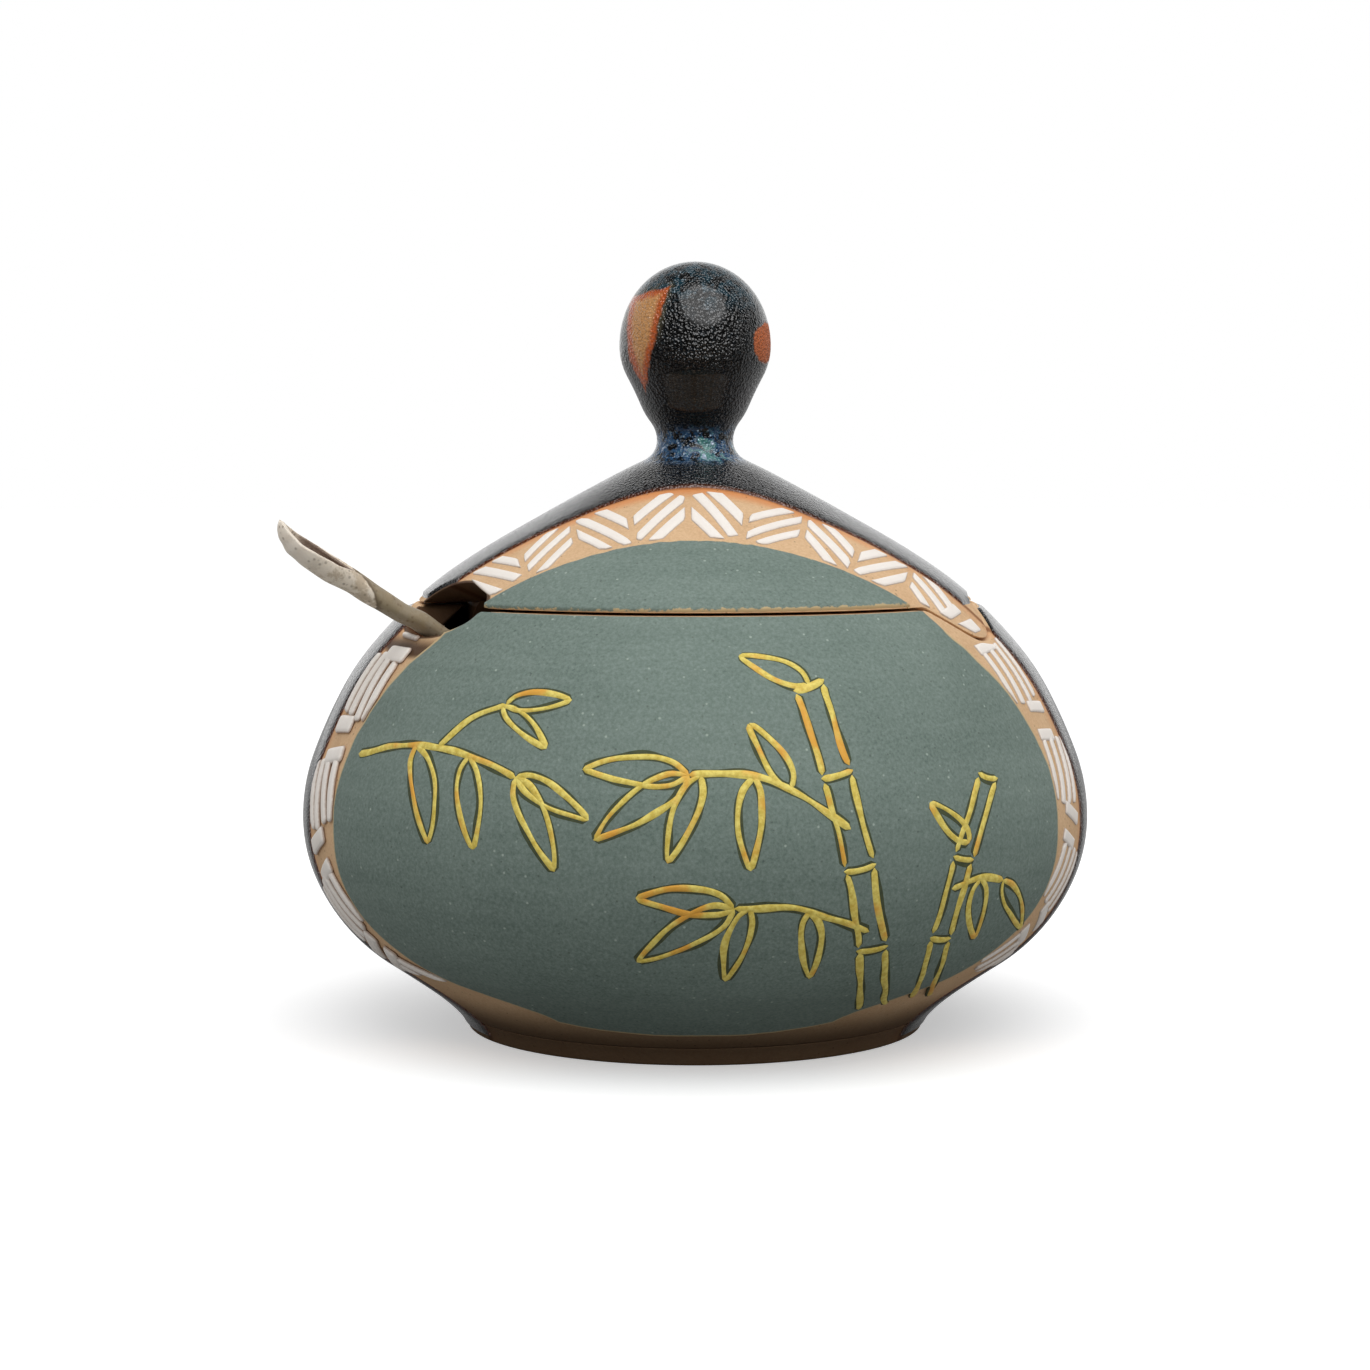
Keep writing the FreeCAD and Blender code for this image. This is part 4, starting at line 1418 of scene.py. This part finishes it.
def drawn_lines():
    """All lines of the bamboo as lists of points, with the width of each."""
    lines = []
    for joints, wide in culms:
        for lower, upper in zip(joints, joints[1:]):
            run, rise = upper[0] - lower[0], upper[1] - lower[1]
            size = math.hypot(run, rise)
            aside = (rise / size, -run / size)
            for side in (-1, 1):
                line = []
                for share in (0.05, 0.16, 0.5, 0.84, 0.95):
                    half = side * wide / 2 * (1.0 + 0.22 * abs(2 * share - 1) ** 4)
                    line.append((lower[0] + run * share + aside[0] * half,
                                 lower[1] + rise * share + aside[1] * half))
                lines.append((eased(line, 5), 0.92))
            half = wide / 2 * 1.28
            cross = [(upper[0] + aside[0] * half * s,
                      upper[1] + aside[1] * half * s - 0.3 * (1 - s * s)) for s in (-1, -0.4, 0.4, 1)]
            lines.append((eased(cross, 4), 0.95))
    for twig in twigs:
        lines.append((eased(twig, 8), 0.95))
    for leaf in leaves:
        for side in leaf_outline(*leaf):
            lines.append((eased(side, 3), 0.80))
    return lines


def bamboo():
    lines = drawn_lines()
    # Under each line a wider strip of painted shade, then the gold inlay over it
    shade_strips = joined("bamboo_groove_shade", [ribbon(line, (width + shade_strip_extra) * mm, 0.02 * mm, 0.6)
                                       for line, width in lines])
    coated(shade_strips, 0.3 * mm, groove_shade_finish, "jar", "green_slip")
    inlay = joined("bamboo_inlay", [ribbon(line, width * mm, inlay_height) for line, width in lines])
    coated(inlay, 0.3 * mm, gold_finish, "jar", "white_slip")


# Spoon, laid along its own axis: a rolled stem that opens into a leaf
# Share along the leaf, its lowest line and the radius of its roll in millimetres, the roll's
# half opening and turn in degrees, and how much wider than tall it is
leaf_rolls = (
    (0.00, -1.42, 1.42, 177, 0, 1.45), (0.16, -1.95, 1.46, 174, -6, 1.42),
    (0.42, -2.35, 1.72, 158, -14, 1.28), (0.64, -2.80, 2.40, 114, -20, 1.18),
    (0.75, -2.85, 2.75, 98, -21, 1.10), (0.85, -2.50, 2.75, 88, -22, 1.04),
    (0.935, -1.55, 2.15, 84, -22, 1.00), (0.98, -0.55, 1.25, 84, -22, 1.00),
    (1.00, 0.25, 0.25, 84, -22, 1.00),
)


def roll_at(share):
    index = next(i for i, row in enumerate(leaf_rolls[1:], 1) if share <= row[0])
    low, high = leaf_rolls[index - 1], leaf_rolls[index]
    ease = (share - low[0]) / (high[0] - low[0])
    ease = ease * ease * (3 - 2 * ease) if index < 7 else ease
    return mixed(low[1:], high[1:], ease)


def spoon_handle():
    leaf_start = handle_end - leaf_length - 2.0 * mm

    def lay(across, up):
        along = handle_start + (handle_end - handle_start) * (1 - (1 - up) ** 1.25)
        share = min(max((along - leaf_start) / (handle_end - leaf_start), 0.0), 1.0)
        bottom, radius, opening, turn, widen = roll_at(share)
        angle = math.radians(opening) * (2 * across - 1)
        lean = math.radians(turn)
        wide, tall = radius * widen * math.sin(angle), -radius * math.cos(angle)
        hook = 0.3 * max(0.0, (share - 0.95) / 0.05) ** 2
        uneven = 0.14 * noise.noise(Vector((along / mm / 4, angle, 3)))
        point = spoon_base + spoon_along * along
        side = wide * math.cos(lean) - tall * math.sin(lean)
        rise = wide * math.sin(lean) + tall * math.cos(lean) + bottom + radius + hook + uneven
        return point + spoon_across * side * mm + spoon_up * rise * mm, 1.0

    piece = laid_grid("rolled_handle", 36, 130, lay)
    outer = len(piece.data.vertices)
    finished(piece, "SOLIDIFY", thickness=0.8 * mm, offset=-1.0)
    uvs = piece.data.uv_layers.active.data
    for loop in piece.data.loops:
        uvs[loop.index].uv = (1.0 if loop.vertex_index < outer else 0.0, 0.0)
    in_edit_mode(piece, tidied)
    finished(piece, "SUBSURF", render_levels=1, levels=1)
    smoothed(piece, 60)
    dressed(piece, spoon_finish, "spoon", "spoon_glaze", "spoon_handle")


for step in (jar_wall, lid_wall, foot_ring, jar_panel, lid_panel, jar_black_coat,
             lid_black_coat, knob, band_strokes, bamboo, spoon_handle):
    step()

for node, finish in (
    ("jar_inside_glaze", liner_finish), ("lid_inside_glaze", liner_finish),
    ("lid_locating_ring", clay_finish), ("spoon_bowl", spoon_finish),
):
    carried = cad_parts[node]
    carried.data.materials.clear()
    carried.data.materials.append(finish)


# Floor, world, lamps and camera
def white_floor():
    """White to the camera, darker where it would light the pot from below."""
    bpy.ops.object.select_all(action="DESELECT")
    bpy.ops.mesh.primitive_plane_add(size=8.0, location=(0, 0, 0))
    floor = bpy.context.object
    floor.name = "floor"
    paper = Finish("floor_paper", Roughness=0.9, Specular_IOR_Level=0.0, Emission_Strength=0.42)
    shown = paper.node("ShaderNodeLightPath", output="Is Camera Ray")
    fibre = paper.noise(30 * mm, 2) * 0.02
    mirrored = paper.node("ShaderNodeLightPath", output="Is Glossy Ray")
    behind = paper.rise(paper.y, -0.10, 0.15)
    base = paper.blend(mirrored, (0.36, 0.36, 0.36, 1), (0.05, 0.05, 0.05, 1))
    paper.put("Base Color", paper.blend(shown, base, (0.90, 0.90, 0.90, 1)))
    glow = shown - fibre + mirrored * behind * 1.3
    paper.put("Emission Color", paper.blend(glow.or_less(1.0), (0, 0, 0, 1), (1, 1, 1, 1)))
    floor.data.materials.append(paper.material)


def pale_world():
    """White behind the pot; the light itself comes mostly from above."""
    world = bpy.data.worlds.new("pale_room")
    bpy.context.scene.world = world
    world.use_nodes = True
    air = Graph(world.node_tree)
    direction = air.node("ShaderNodeTexCoord")
    x, y, z = air.parts(direction)
    overhead = air.rise(z, -0.05, 0.85, 0.21, 0.80)
    overhead += air.rise(x.maths("ABSOLUTE", x, 0.0), 0.45, 0.95, 0.0, 0.22)
    softbox = air.rise(air.dot(direction, (0.20, -0.56, 0.80)), 0.82, 0.90, 0.0, 5.0)
    mirrored = air.rise(y - z * 1.1, 0.0, 0.55, 0.03, 1.15).or_more(softbox)
    glossy = air.node("ShaderNodeLightPath", output="Is Glossy Ray")
    shown = air.node("ShaderNodeLightPath", output="Is Camera Ray")
    strength = air.node("ShaderNodeMix", {"data_type": "FLOAT"},
                        {0: glossy, 2: overhead, 3: mirrored})
    light = air.tree.nodes["Background"]
    light.inputs["Color"].default_value = (1.0, 1.0, 1.0, 1.0)
    air.tree.links.new(strength.or_more(shown).socket, light.inputs["Strength"])


def top_softbox():
    place, aim = Vector((0.08, -0.34, 0.60)), Vector((0, 0, 0.06))
    bpy.ops.object.light_add(type="AREA", location=place)
    light = bpy.context.object
    light.name = "top_softbox"
    light.data.shape = "DISK"
    light.data.size = 0.8
    light.data.energy = 2.0
    light.visible_glossy = False
    light.rotation_euler = (aim - place).to_track_quat("-Z", "Y").to_euler()


def camera():
    aside, distance, height, dip = -1.5 * mm, 450 * mm, 86 * mm, 4.4478
    bpy.ops.object.camera_add(location=(aside, -distance, height),
                              rotation=(math.radians(90 - dip), 0, 0))
    view = bpy.context.object
    view.data.sensor_width = 36.0
    view.data.lens = 78.83
    view.data.clip_start = 0.01
    bpy.context.scene.camera = view


white_floor()
pale_world()
top_softbox()
camera()
bpy.context.scene.view_settings.view_transform = "Standard"
